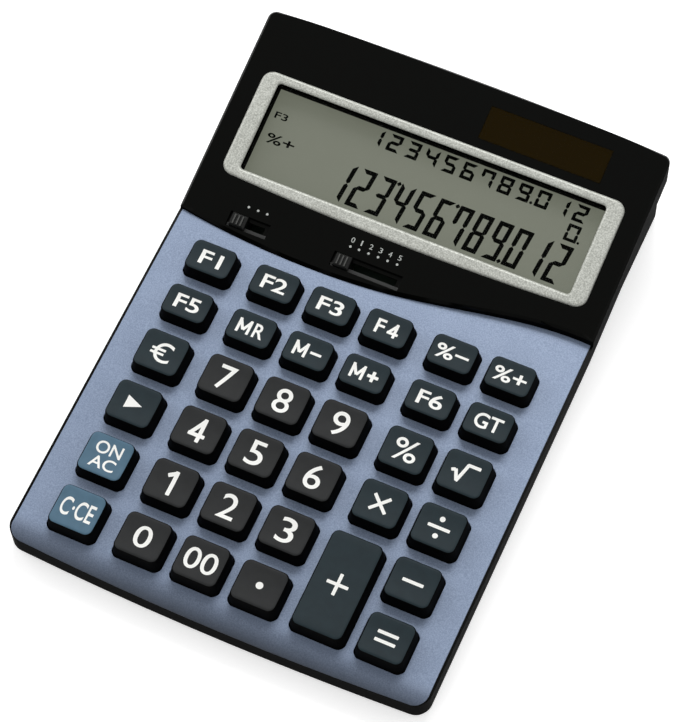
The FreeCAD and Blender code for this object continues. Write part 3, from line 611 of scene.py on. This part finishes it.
def strokes(lines, thick):
    """Straight strokes, each from one point to another."""
    bars = []
    for x0, y0, x1, y1 in lines:
        length = math.hypot(x1 - x0, y1 - y0)
        degrees = math.degrees(math.atan2(y1 - y0, x1 - x0))
        bars.append(bar((x0 + x1) / 2, (y0 + y1) / 2, length, thick, degrees))
    return bars


SIGNS = {
    "plus": [(-3.6, 0, 3.6, 0), (0, -3.8, 0, 3.8)],
    "minus": [(-3.5, 0, 3.5, 0)],
    "equals": [(-3.45, 1.4, 3.45, 1.4), (-3.45, -1.4, 3.45, -1.4)],
    "multiply": [(-2.75, -2.75, 2.75, 2.75), (-2.75, 2.75, 2.75, -2.75)],
    "divide": [(-3.7, 0, 3.7, 0)],
    "square_root": [
        (-4.4, -0.1, -3.1, 0.5),
        (-3.1, 0.7, -1.5, -3.2),
        (-1.6, -3.4, 0.3, 3.4),
        (0, 3.2, 4.4, 3.2),
    ],
    "1": [(0.55, -4.35, 0.55, 4.35), (-2.0, 2.1, 0.6, 3.7)],
    "euro": [(-3.6, 0.8, 1.2, 0.8), (-3.7, -0.7, 1.0, -0.7)],
    "memory_minus": [(0.9, 0, 4.7, 0)],
    "memory_plus": [(0.9, 0, 4.7, 0), (2.8, -1.9, 2.8, 1.9)],
}
SIGN_THICK = 1.1
OWN_THICK = {"1": 1.35, "euro": 0.85, "memory_minus": 0.9}
print("signs with strokes", len(SIGNS))


# %% Whole signs
def letter_m(x, width, height, thick):
    """An M of four strokes."""
    w, h, t = width / 2, height / 2, thick / 2
    legs = [(x - w + t, -h, x - w + t, h), (x + w - t, -h, x + w - t, h)]
    return strokes(legs + [(x - w + t, h - t, x, -h / 2), (x + w - t, h - t, x, -h / 2)], thick)


def figure_four(x, width, height, thick):
    """A 4 with an open top: post, foot and slope."""
    w, h, t = width / 2, height / 2, thick / 2
    post, foot = x + 0.35 * w, -0.42 * h
    slope = (x - w + t, foot, post, h - t)
    return strokes([(post, -h, post, h), (x - w, foot, x + w, foot), slope], thick)


def sign(name):
    """The strokes, dots and letters of a mark, round the middle of its key."""
    pieces = strokes(SIGNS.get(name, []), OWN_THICK.get(name, SIGN_THICK))
    if name.startswith("memory"):
        pieces += letter_m(-2.5, 4.6, 5.2, 0.95)
    if name == "memory_recall":
        pieces.append(word("R", 2.7, 0, 3.6, 5.2, HEAVY))
    if name == "divide":
        pieces += [dot(0, 3.0, 1.8), dot(0, -3.0, 1.8)]
    if name == "point":
        pieces.append(dot(0, 0, 2.4))
    if name == "backspace":
        pieces.append(fit(dot(0, 0, 6.6, 3, -90), 0, 0, 5.6, 4.6))
    if name == "euro":
        pieces.append(word("C", 0.5, 0, 6.0, 7.2, HAIR))
    if name == "4":
        pieces += figure_four(0, 5.7, 8.6, 1.3)
    if name == "change":
        pieces += [word("F", -2.4, 0, 3.0, 5.2, HEAVY)] + figure_four(2.2, 3.8, 5.2, 0.95)
    return pieces


print("signs of their own thickness", sorted(OWN_THICK))

# %% [markdown]
# ## A mark for each key
# A mark is one word in a box, or a sign. Each piece of a sign lies a hair lower than the one before,
# so that the faces of crossing strokes never coincide.

# %% Words, signs and plain digits
WORDS = {
    "0": ("0", 5.7, 7.4, LIGHT),
    "00": ("00", 10.9, 7.3, LIGHT),
    "percent": ("%", 8.0, 7.8, LIGHT),
    "clear_entry": ("C·CE", 11.2, 6.4, MEDIUM),
    "grand_total": ("GT", 9.2, 5.4, HEAVY),
    "cost": ("F1", 7.6, 5.2, HEAVY),
    "sell": ("F2", 8.6, 5.2, HEAVY),
    "margin": ("F3", 8.6, 5.2, HEAVY),
    "local": ("F5", 8.6, 5.2, HEAVY),
    "hms": ("F6", 8.6, 5.2, HEAVY),
    "tax_minus": ("%−", 11.2, 5.2, HEAVY),
    "tax_plus": ("%+", 11.2, 5.2, HEAVY),
}
DIGIT_WIDTH, DIGIT_HEIGHT = 5.6, 8.6
LAYER = 0.005


def mark_for(name):
    """The pieces of a key's mark, round its middle."""
    if name == "on_clear":
        return [word("ON", 0, 2.5, 8.9, 4.3, MEDIUM), word("AC", 0, -2.7, 8.6, 4.2, MEDIUM)]
    if name in WORDS:
        text, width, height, weight = WORDS[name]
        return [word(text, 0, 0, width, height, weight)]
    pieces = sign(name)
    for layer, piece in enumerate(pieces):
        for vertex in piece.data.vertices:
            vertex.co.z -= LAYER * layer * MM
    return pieces or [word(name, 0, 0, DIGIT_WIDTH, DIGIT_HEIGHT, HAIR)]


print("marks that are one word", len(WORDS))

# %% [markdown]
# ## Thirty-five keys
# The grid repeats every 20 mm. The left column and the pair on the right stand 22.8 mm from the
# middle group, and the two upper rows are closer together because their keys are shorter. Every key
# is a copy of a blank with a mesh of its own, so that it can carry its own colour, and it rides the
# body of its CAD key: pressing that key in MuJoCo presses cap and mark together. A mark is cut into
# rows, as the key's top is, and each row is laid onto the scoop.

# %% The grid of keys
COLUMNS = [-52.8, -30, -10, 10, 32.8, 52.8]
ROWS = [16.5, 36.5, 56.5, 76.5, 95.7, 113.4]
KEYS = [
    ["clear_entry", "0", "00", "point", None, "equals"],
    ["on_clear", "1", "2", "3", "plus", "minus"],
    ["backspace", "4", "5", "6", "multiply", "divide"],
    ["euro", "7", "8", "9", "percent", "square_root"],
    ["local", "memory_recall", "memory_minus", "memory_plus", "hms", "grand_total"],
    ["cost", "sell", "margin", "change", "tax_minus", "tax_plus"],
]
DIGIT_ROWS = 4
MARK_REACH, MARK_STEP = 5.6, 0.7


def blank_and_place(row, column, name):
    """A key's blank, its length and its middle; the plus key reaches down over two places."""
    x, y = COLUMNS[column], ROWS[row]
    if name == "plus":
        return plus_blank, PLUS_LENGTH, x + (KEY_WIDTH - PLUS_WIDTH) / 2, (y + ROWS[row - 1]) / 2
    if row < DIGIT_ROWS:
        return digit_blank, KEY_LENGTH, x, y
    return function_blank, FUNCTION_LENGTH, x, y


def colour_of(name):
    """The plastic of a key's top and the slot that it fills."""
    if name in ("on_clear", "clear_entry"):
        return clear_abs, "clear_keys"
    if name.isdigit() or name == "point":
        return digit_abs, "digit_keys"
    return function_abs, "function_keys"


print("keys in the grid", sum(name is not None for names in KEYS for name in names))

# %% Caps and marks
# Screen ink on the key tops: off-white, not quite matt
print_white = new_material("ink_white", Roughness=0.45, Base_Color="#F4F4F0")


def twin(piece, name):
    """A copy of a piece with a mesh of its own."""
    copy = piece.copy()
    copy.data = piece.data.copy()
    copy.name = copy.data.name = name
    bpy.context.collection.objects.link(copy)
    return copy


def coat(piece, material):
    """Gives a piece one material all over."""
    piece.data.materials.clear()
    piece.data.materials.append(material)


for row, names in enumerate(KEYS):
    for column, name in enumerate(names):
        if not name:
            continue
        node = "key_" + name
        blank, length, x, y = blank_and_place(row, column, name)
        board = on_keyboard @ at(x, y)
        top, slot = colour_of(name)
        cap = twin(blank, node + "_cap")
        cap.data.materials[1] = top
        settle(cap, board)
        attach(cap, node)
        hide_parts(node)

        mark = joined(node + "_mark", mark_for(name))
        cut_rows(mark, -MARK_REACH, MARK_REACH, MARK_STEP)
        sink = (PRINT_DOWN - PRINT_UP) / 2 * MM
        for vertex in mark.data.vertices:
            vertex.co.z += key_surface(vertex.co.y / MM, length) * MM - sink
        coat(mark, print_white)
        settle(mark, board)
        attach(mark, node)

for blank in blanks:
    bpy.data.objects.remove(blank)

# %% [markdown]
# ## Finer skins for the case, the plate and the frame
# CAD edges are perfectly sharp and catch no light. A mesh copied from a CAD piece is first merged
# and cleaned of flat seams; a small bevel then gives every edge the roundness a mould leaves. The
# CAD mesh itself is left alone: the copy stands for it.

# %% Rounded copies of CAD pieces
MAIN = "calculator_body"
EDGE_ANGLE, SMOOTH_ANGLE = 40, 35
MERGE, FLAT_ANGLE = 0.002, 0.05
into_keyboard = on_keyboard.inverted()
into_display = on_display.inverted()


def clean(piece):
    """Merges the corners of a CAD mesh, joins its flat faces and turns them outwards."""
    edit_all(piece)
    bpy.ops.mesh.remove_doubles(threshold=MERGE * MM)
    bpy.ops.mesh.dissolve_limited(angle_limit=math.radians(FLAT_ANGLE))
    bpy.ops.mesh.normals_make_consistent(inside=False)
    bpy.ops.mesh.customdata_custom_splitnormals_clear()
    leave_edit()


def refined(node, material, body, bevel, prepare=None):
    """A copy of a CAD piece with rounded edges, in its own material."""
    piece = twin(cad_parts[node], node + "_skin")
    for key in list(piece.keys()):
        if key.startswith("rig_"):
            del piece[key]
    piece.parent = None
    clean(piece)
    if prepare:
        prepare(piece)
    softener = piece.modifiers.new("edges", "BEVEL")
    softener.width = bevel * MM
    softener.segments = 2
    softener.limit_method = "ANGLE"
    softener.angle_limit = math.radians(EDGE_ANGLE)
    bpy.ops.object.modifier_apply(modifier=softener.name)
    coat(piece, material)
    smooth(piece, SMOOTH_ANGLE)
    leveller = piece.modifiers.new("flats stay flat", "WEIGHTED_NORMAL")
    leveller.keep_sharp = True
    bpy.ops.object.modifier_apply(modifier=leveller.name)
    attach(piece, body)
    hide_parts(node)
    print(node, len(piece.data.polygons), "faces")
    return piece


case_skin = refined("upper_case", case_gloss_abs, MAIN, 0.3)

# %% [markdown]
# ## The plate's holes and its front lip
# The corners of the key holes are rounded like the keys in them, only tighter. The plate of the real
# calculator rolls over the front of the case, so the corners of its front wall are moved outwards,
# most where the wall faces straight forward, and its upper edge is lowered a little.

# %% Holes, lip and frame
KEYBOARD_UP = on_keyboard.to_3x3() @ Vector((0, 0, 1))
HOLES_HALF, HOLES_FRONT, HOLES_REAR = 64, 7.5, 122
HOLE_CORNER = 0.7
LIP_REAR, LIP_MIDDLE = 7, -2.2
LIP_REACH, LIP_DROP = 0.75, 0.12


def at_hole_corner(middle, way):
    """Whether an edge is an upright corner of a key hole."""
    spot = into_keyboard @ (middle * MM) / MM
    inside = abs(spot.x) < HOLES_HALF and HOLES_FRONT < spot.y < HOLES_REAR
    return abs(way.dot(KEYBOARD_UP)) > 0.999 and inside


def draw_lip(piece):
    """Rounds the holes and draws the rolled front edge of the plate out over the case's rim."""
    print("hole corners", choose(piece, "EDGE", at_hole_corner))
    bpy.ops.mesh.bevel(offset=HOLE_CORNER * MM, segments=3)
    leave_edit()
    turn = into_keyboard.to_3x3()
    outward = {}
    for polygon in piece.data.polygons:
        way = turn @ polygon.normal
        middle = into_keyboard @ polygon.center / MM
        if abs(way.z) < 0.1 and way.y < -0.05 and middle.y < LIP_REAR:
            for corner in polygon.vertices:
                outward.setdefault(corner, []).append(way)
    for corner, ways in outward.items():
        way = sum(ways, Vector()) / len(ways)
        reach = -way.y * LIP_REACH
        upper = (into_keyboard @ piece.data.vertices[corner].co).z > LIP_MIDDLE * MM
        drop = LIP_DROP * way.y**4 if upper else 0
        shift = Vector((way.x * reach, way.y * reach, -drop)) * MM
        piece.data.vertices[corner].co += on_keyboard.to_3x3() @ shift
    print("lip corners moved", len(outward))


refined("keyboard_plate", plate_lacquer, MAIN, 0.3, prepare=draw_lip)
bezel_skin = refined("display_bezel", bezel_lacquer, MAIN, 0.4)

# %% [markdown]
# ## Second finishes on the case and the frame
# One moulding can have several finishes. The case's walls are matt where its top is glossy. The
# floor of each switch track is painted lighter in front of the slot for the knob's stem: a painted
# highlight where the real track's front slope catches the light. The floor is one face, so it is cut
# along the slot first. The frame's walls round the display's opening are painted near-black: a
# painted shade in the recess.

# %% Matt walls, painted highlight on the tracks, painted shade in the opening
TRACK_DEPTH, STEM_SLOT = 1.2, 10.0
WINDOW_HALF, WINDOW_FRONT, WINDOW_REAR = 61, 26, 62.6


def on_housing(middle):
    """A place in the mesh as the display's board sees it, both in millimetres."""
    return into_display @ (middle * MM) / MM


def paint(piece, material, test):
    """Gives the faces that pass the test another material."""
    piece.data.materials.append(material)
    print(piece.name, material.name, choose(piece, "FACE", test))
    piece.active_material_index = len(piece.data.materials) - 1
    bpy.ops.object.material_slot_assign()
    leave_edit()


def on_track(middle, way):
    """Whether a face lies as deep as the floor of a switch track."""
    return abs(on_housing(middle).z + TRACK_DEPTH) < 0.05


def on_track_front(middle, way):
    """Whether such a face lies level, in front of the slot for the knob's stem."""
    level = abs(way.z) > 0.9
    return level and on_track(middle, way) and on_housing(middle).y < STEM_SLOT


def in_window(middle, way):
    """Whether a face is an upright wall round the display's opening."""
    spot = on_housing(middle)
    inside = abs(spot.x) < WINDOW_HALF and WINDOW_FRONT < spot.y < WINDOW_REAR
    return inside and abs((into_display.to_3x3() @ way).z) < 0.5


paint(case_skin, base_matt_abs, lambda middle, way: abs(way.z) < 0.5)
choose(case_skin, "FACE", on_track)
edge = on_display @ Vector((0, STEM_SLOT * MM, 0))
backward = on_display.to_3x3() @ Vector((0, 1, 0))
bpy.ops.mesh.bisect(plane_co=edge, plane_no=backward, threshold=TOLERANCE)
leave_edit()
# Painted highlight: the front of each track floor is lighter than the case round it
paint(case_skin, track_painted_highlight, on_track_front)
# Painted shade: the frame's walls round the display's opening are near-black
paint(bezel_skin, skirt_abs, in_window)

# %% [markdown]
# ## Lower case, battery cover and knobs
# These get the same rounded copies. The cover and the knobs slide, so each rides the body of its own
# joint. The crests of the knobs' ribs are painted lighter: a painted highlight where they catch the
# light.

# %% Lower case, cover, knobs
CREST = 1.5

refined("lower_case", base_matt_abs, MAIN, 0.25)
refined("battery_cover", base_matt_abs, "battery_door", 0.2)
for switch in ("rounding_switch", "decimal_switch"):
    knob = refined(switch + "_knob", knob_abs, switch, 0.12)
    # Painted highlight on the crests of the knobs' ribs
    paint(knob, rib_crest_painted_highlight, lambda middle, way: way.z > 0.9 and on_housing(middle).z > CREST)

# %% [markdown]
# ## Rubber domes under the keys
# Under each key stands a hollow square dome of silicone. The key's post rests on it, flattens it on
# the way down and is pushed back by it. Each dome is a piece of its own, on the calculator's body.
# One dome is modelled and copied: a block whose underside is inset and pushed up, whose top is
# drawn in and whose edges are softened. The plus key, which is twice as long, has two domes.

# %% One dome, then thirty-six
mat_points = [(into_keyboard @ v.co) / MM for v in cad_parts["key_mat"].data.vertices]
MAT_LOW = min(p.z for p in mat_points)
MAT_HIGH, DOME_HIGH = MAT_LOW + 1.0, max(p.z for p in mat_points)
DOME_HALF, DOME_WALL, DOME_ROOF = 4, 1.2, 0.7
DOME_TAPER, DOME_EDGE = 0.64, 0.15

dome = block("dome", (-DOME_HALF, DOME_HALF, -DOME_HALF, DOME_HALF), MAT_HIGH, DOME_HIGH)
choose(dome, "FACE", lambda middle, way: way.z < -0.5)
bpy.ops.mesh.inset(thickness=DOME_WALL * MM)
hollow = (0, 0, (DOME_HIGH - MAT_HIGH - DOME_ROOF) * MM)
bpy.ops.mesh.extrude_region_move(TRANSFORM_OT_translate={"value": hollow})
leave_edit()
for vertex in dome.data.vertices:
    if vertex.co.z > (MAT_HIGH + 0.1) * MM:
        vertex.co.x *= DOME_TAPER
        vertex.co.y *= DOME_TAPER
choose(dome, "EDGE", lambda middle, way: True)
bpy.ops.mesh.bevel(offset=DOME_EDGE * MM, segments=2)
bpy.ops.mesh.normals_make_consistent(inside=False)
leave_edit()
coat(dome, mat_silicone)
smooth(dome, 40)

for row, names in enumerate(KEYS):
    for column, name in enumerate(names):
        x, y = COLUMNS[column], ROWS[row]
        spring = twin(dome, f"mat_dome_{row + 1}_{column + 1}")
        settle(spring, on_keyboard @ at(x, y))
        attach(spring, MAIN)
        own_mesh(spring)
bpy.data.objects.remove(dome)
print("domes", len(ROWS) * len(COLUMNS), "of", round(DOME_HIGH - MAT_HIGH, 2), "mm")

# %% [markdown]
# ## The sheet that the domes stand on
# The domes are moulded on one thin sheet, which is open under each of them, so that air can escape.
# The sheet is a block as wide and long as the CAD mat, and a boolean takes all the holes at once.

# %% Mat sheet
HOLE_HALF = 2.8

sides = [pick_one(p[axis] for p in mat_points) for axis in (0, 1) for pick_one in (min, max)]
holes = []
for y in ROWS:
    for x in COLUMNS:
        opening = (x - HOLE_HALF, x + HOLE_HALF, y - HOLE_HALF, y + HOLE_HALF)
        holes.append(block("hole", opening, MAT_LOW - 1, MAT_HIGH + 1))
cutter = joined("mat_holes", holes)
sheet = block("key_mat_sheet", sides, MAT_LOW, MAT_HIGH)
cut = sheet.modifiers.new("holes", "BOOLEAN")
cut.object = cutter
cut.solver = "EXACT"
pick(sheet)
bpy.ops.object.modifier_apply(modifier="holes")
bpy.data.objects.remove(cutter)
coat(sheet, mat_silicone)
settle(sheet, on_keyboard)
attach(sheet, MAIN)
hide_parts("key_mat")
print("mat sheet has", len(sheet.data.polygons), "faces and", len(holes), "holes")

# %% [markdown]
# ## Everything else keeps its CAD shape
# Boards, panes, springs and the rest are already as fine as they need to be. They only get their
# material, and flat shading, because their edges are cut or pressed, not rounded.

# %% Materials for the remaining CAD nodes
LOOKS = {
    "display_window": clear_acrylic,
    "solar_window": brown_acrylic,
    "solar_cell": solar_film,
    "lcd_glass": display_glass,
    "lcd_holder": holder_hips,
    "lcd_contact_strip": strip_silicone,
    "display_board": board_phenolic,
    "key_board": board_phenolic,
    "controller_chip": chip_resin,
    "board_ribbon": ribbon_film,
    "hookup_leads": lead_pvc,
    "battery_contacts": spring_bronze,
    "battery_cell": cell_nickel,
    "case_screws": screw_zinc,
    "rounding_switch_wiper": spring_bronze,
    "decimal_switch_wiper": spring_bronze,
    "rubber_feet": foot_rubber,
}
for node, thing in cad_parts.items():
    if thing.hide_render:
        continue
    coat(thing, LOOKS[node])
    for polygon in thing.data.polygons:
        polygon.use_smooth = False
print("dressed", len(LOOKS), "nodes")

# %% [markdown]
# ## Bars of a digit
# A liquid crystal digit is made of seven bars. Those round its outside are mitred where they meet,
# and the middle one is pointed. A bar is a block whose corners are cut: both at a pointed end, only
# the lower one at a mitred end.

# %% Seven bars make a digit
ON_BARS = {
    "0": "abcdef", "1": "bc", "2": "abged", "3": "abgcd", "4": "fgbc",
    "5": "afgcd", "6": "afgcde", "7": "fabc", "8": "abcdefg", "9": "abcdfg",
}
BAR_RISE = 0.02
MITRE, POINT = 0.9, 0.42


def segment(length, thick, mitred):
    """A bar along X. Its lower corner is cut at a mitred end, both corners at a pointed one."""
    outline = (-length / 2, length / 2, -thick / 2, thick / 2)
    piece = block("bar", outline, -BAR_RISE, BAR_RISE)
    for end in (-1, 1):
        if end in mitred:
            choose(piece, "EDGE", lambda m, way: upright(m, way) and m.x * end > 0 and m.y < 0)
            bpy.ops.mesh.bevel(offset=thick * MITRE * MM, segments=1)
        else:
            tip = length / 2 - 0.01
            choose(piece, "EDGE", lambda m, way: upright(m, way) and m.x * end > tip)
            bpy.ops.mesh.bevel(offset=thick * POINT * MM, segments=1)
    leave_edit()
    return piece


print("an 8 takes", len(ON_BARS["8"]), "bars")

# %% [markdown]
# ## Rows of digits
# Five bars are modelled for a row: a long one for top and foot, the middle one, two that mirror each
# other for the sides, and a point. Each digit takes copies of those it needs, turned and slanted
# into place, and the row is joined to one piece. Rows are filled from the right, as on the display.

# %% A row of digits
GAP = 0.12


def digit_row(name, text, right, low, thick, pitch, width, height, slant):
    """A row of digits; the last stands round x = right at its foot, in display millimetres."""
    w, h, t = width / 2, height / 2, thick / 2
    long_bar = segment(width - 2 * GAP, thick, (-1, 1))
    middle_bar = segment(width - 1.2 * thick, thick, ())
    up_bar = segment(h - 1.5 * GAP, thick, (1,))
    down_bar = segment(h - 1.5 * GAP, thick, (-1,))
    point = segment(thick, thick, ())
    places = {
        "a": (long_bar, 0, 2 * h - t, 0),
        "d": (long_bar, 0, t, 180),
        "g": (middle_bar, 0, h, 0),
        "f": (up_bar, t - w, 1.5 * h - 0.25 * GAP, 90),
        "c": (up_bar, w - t, 0.5 * h + 0.25 * GAP, -90),
        "b": (down_bar, w - t, 1.5 * h - 0.25 * GAP, -90),
        "e": (down_bar, t - w, 0.5 * h + 0.25 * GAP, 90),
        ".": (point, -pitch / 2, t, 0),
        "'": (point, -pitch / 2, 2 * h - t, 0),
    }
    pieces = []
    shear = Matrix.Identity(4)
    shear[0][1] = slant
    x = right - pitch * (sum(letter.isdigit() for letter in text) - 1)
    for letter in text:
        for bar_name in ON_BARS.get(letter, letter):
            source, dx, dy, degrees = places[bar_name]
            copy = twin(source, "bar")
            copy.data.transform(at(x + dx + dy * slant, low + dy) @ shear @ at(0, 0, degrees))
            pieces.append(copy)
        if letter.isdigit():
            x += pitch
    for source in (long_bar, middle_bar, up_bar, down_bar, point):
        bpy.data.objects.remove(source)
    return joined(name, pieces)


print("bars end", GAP, "mm short of each other")

# %% [markdown]
# ## What the display shows
# The lower row is tall and slanted; the upper row and a small zero under its last digit are upright.
# A few small indicators stand on the left. All of it is dark and lies on the display glass.

# %% Two rows, a small zero and indicators
LCD_LEVEL = -5.5
SMALL = {"pitch": 6.65, "width": 4.5, "height": 6.0, "slant": 0.03}
TALL = {"pitch": 7.0, "width": 5.1, "height": 13.9, "slant": 0.105}


def onto_display(piece):
    """Lays dark bars on the display glass."""
    coat(piece, digit_dark)
    settle(piece, on_display @ Matrix.Translation((0, 0, (LCD_LEVEL + BAR_RISE) * MM)))
    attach(piece, MAIN)


onto_display(digit_row("lcd_upper_digits", "123456789.012", 50.9, 53.6, 1.12, **SMALL))
onto_display(digit_row("lcd_lower_digits", "123'456'789.012", 49.65, 31.0, 1.5, **TALL))
onto_display(digit_row("lcd_small_zero", "0", 50.9, 46.4, 1.05, **SMALL))
indicators = [
    word("F3", -54.7, 51.5, 4.6, 2.4, 0.014),
    word("%+", -51.4, 43.2, 10.0, 3.6, 0.012),
    dot(53.9, 46.9, 0.9),
]
for piece in indicators:
    for vertex in piece.data.vertices:
        vertex.co.z *= BAR_RISE * 2 / (PRINT_UP + PRINT_DOWN)
onto_display(joined("lcd_indicators", indicators))
print("the bars lie on the glass, at", LCD_LEVEL, "mm")

# %% [markdown]
# ## Prints on the housing
# Each slide switch has a row of dots that its knob points at, and the longer row has plain numbers
# behind it. They are printed in grey, fainter than the marks on the keys.

# %% Switch dots and numbers
ROUNDING_PLACES = (-50.4, -47.0, -43.7)
DECIMAL_PLACES = (-13.7, -10.6, -7.2, -3.8, -0.4, 3.0)
DOT_LINE, NUMBER_LINE = 16.9, 19.3
DOT_SIZE, NUMBER_HEIGHT = 0.85, 1.8

# Screen ink on the housing: light grey, matt
print_grey = new_material("ink_grey", Roughness=0.5, Base_Color="#B4B8B4")
marks = [dot(x, DOT_LINE, DOT_SIZE) for x in ROUNDING_PLACES + DECIMAL_PLACES]
for n, x in enumerate(DECIMAL_PLACES):
    width = 0.5 if n == 1 else 1.2
    marks.append(word(str(n), x, NUMBER_LINE, width, NUMBER_HEIGHT, 0.0))
housing_print = joined("switch_print", marks)
coat(housing_print, print_grey)
settle(housing_print, on_display)
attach(housing_print, MAIN)
print("print on the housing has", len(housing_print.data.polygons), "faces")

# %% [markdown]
# ## A pale table
# The calculator lies on a white table. The floor looks white to the camera and in reflections, by
# an emission that only those rays see. Its real brightness is kept for the light that it throws
# back, and it still takes the soft shadow.

# %% Floor
FLOOR_GLOW = 0.55

deselect()
bpy.ops.mesh.primitive_plane_add(size=4)
floor = bpy.context.object
floor.name = "floor"
floor_paint = new_material("floor_white", Roughness=0.9, Base_Color="#E8E8E8")
path = add(floor_paint, "ShaderNodeLightPath")
seen = path.outputs["Is Camera Ray"]
for ray in ("Is Glossy Ray", "Is Transmission Ray"):
    rays = {0: seen, 1: path.outputs[ray]}
    seen = add(floor_paint, "ShaderNodeMath", rays, operation="MAXIMUM").outputs[0]
glow = add(floor_paint, "ShaderNodeMath", {0: seen, 1: FLOOR_GLOW}, operation="MULTIPLY")
type_in(floor_paint, Emission_Color="#FFFFFF")
feed(floor_paint, "Emission Strength", glow.outputs[0])
coat(floor, floor_paint)
print("floor is", round(floor.dimensions.x, 1), "m wide")

# %% [markdown]
# ## Soft light
# Most of the light comes from a large softbox behind, so the sides of the keys that the camera sees
# stay dark. A weaker one on the left lifts the walls there, and two faint ones, on the right and in
# front, fill the shadows together with a plain white world.

# %% Lights and world
WORLD_LIGHT = 0.45


def softbox(name, direction, distance, width, height, power):
    """A soft rectangular light in a direction from the middle of the keyboard, facing it."""
    target = Vector((0, 0, 0.02))
    way = Vector(direction).normalized()
    deselect()
    bpy.ops.object.light_add(type="AREA", location=target + way * distance)
    light = bpy.context.object
    light.name = name
    light.rotation_euler = way.to_track_quat("Z", "Y").to_euler()
    light.data.shape = "RECTANGLE"
    light.data.size = width
    light.data.size_y = height
    light.data.energy = power


# Distances and sizes are in metres, the power is in watts
softbox("key_softbox", (-0.1, 0.6, 0.78), 2.2, 1.2, 0.9, 22)
softbox("left_fill", (-0.75, 0.1, 0.55), 2.0, 1.4, 1.0, 10)
softbox("right_fill", (0.7, 0.1, 0.6), 2.0, 1.4, 1.0, 3)
softbox("front_fill", (-0.1, -0.75, 0.65), 1.8, 1.2, 0.8, 2)

world = bpy.data.worlds.new("studio")
bpy.context.scene.world = world
world.use_nodes = True
background = world.node_tree.nodes["Background"]
background.inputs["Color"].default_value = (1, 1, 1, 1)
background.inputs["Strength"].default_value = WORLD_LIGHT
bpy.context.scene.view_settings.view_transform = "Standard"

# %% [markdown]
# ## The photographer's place
# Straight edges of the calculator, extended on the photograph, meet far away: the camera stood about
# 0.9 m off, above the lower right corner, and was turned so that the calculator leans in the frame.
# Its place and directions are written in the keyboard's frame and turned with it.

# %% Camera
CAMERA_PLACE = Vector((184.24, -264.37, 823.81)) * MM
CAMERA_RIGHT = Vector((0.91066, 0.41256, -0.02200))
CAMERA_UP = Vector((-0.36105, 0.82059, 0.44303))
CAMERA_BACK = Vector((0.20083, -0.39551, 0.89624))
FOCAL_LENGTH, SENSOR_HEIGHT = 142.43, 36

deselect()
bpy.ops.object.camera_add()
camera = bpy.context.object
axes = Matrix((CAMERA_RIGHT, CAMERA_UP, CAMERA_BACK)).transposed().to_4x4()
camera.matrix_world = on_keyboard @ Matrix.Translation(CAMERA_PLACE) @ axes
camera.data.lens = FOCAL_LENGTH
camera.data.sensor_fit = "VERTICAL"
camera.data.sensor_height = SENSOR_HEIGHT
camera.data.clip_start = 0.01
camera.data.clip_end = 10
bpy.context.scene.camera = camera
print("camera at", [round(v, 3) for v in camera.matrix_world.translation])
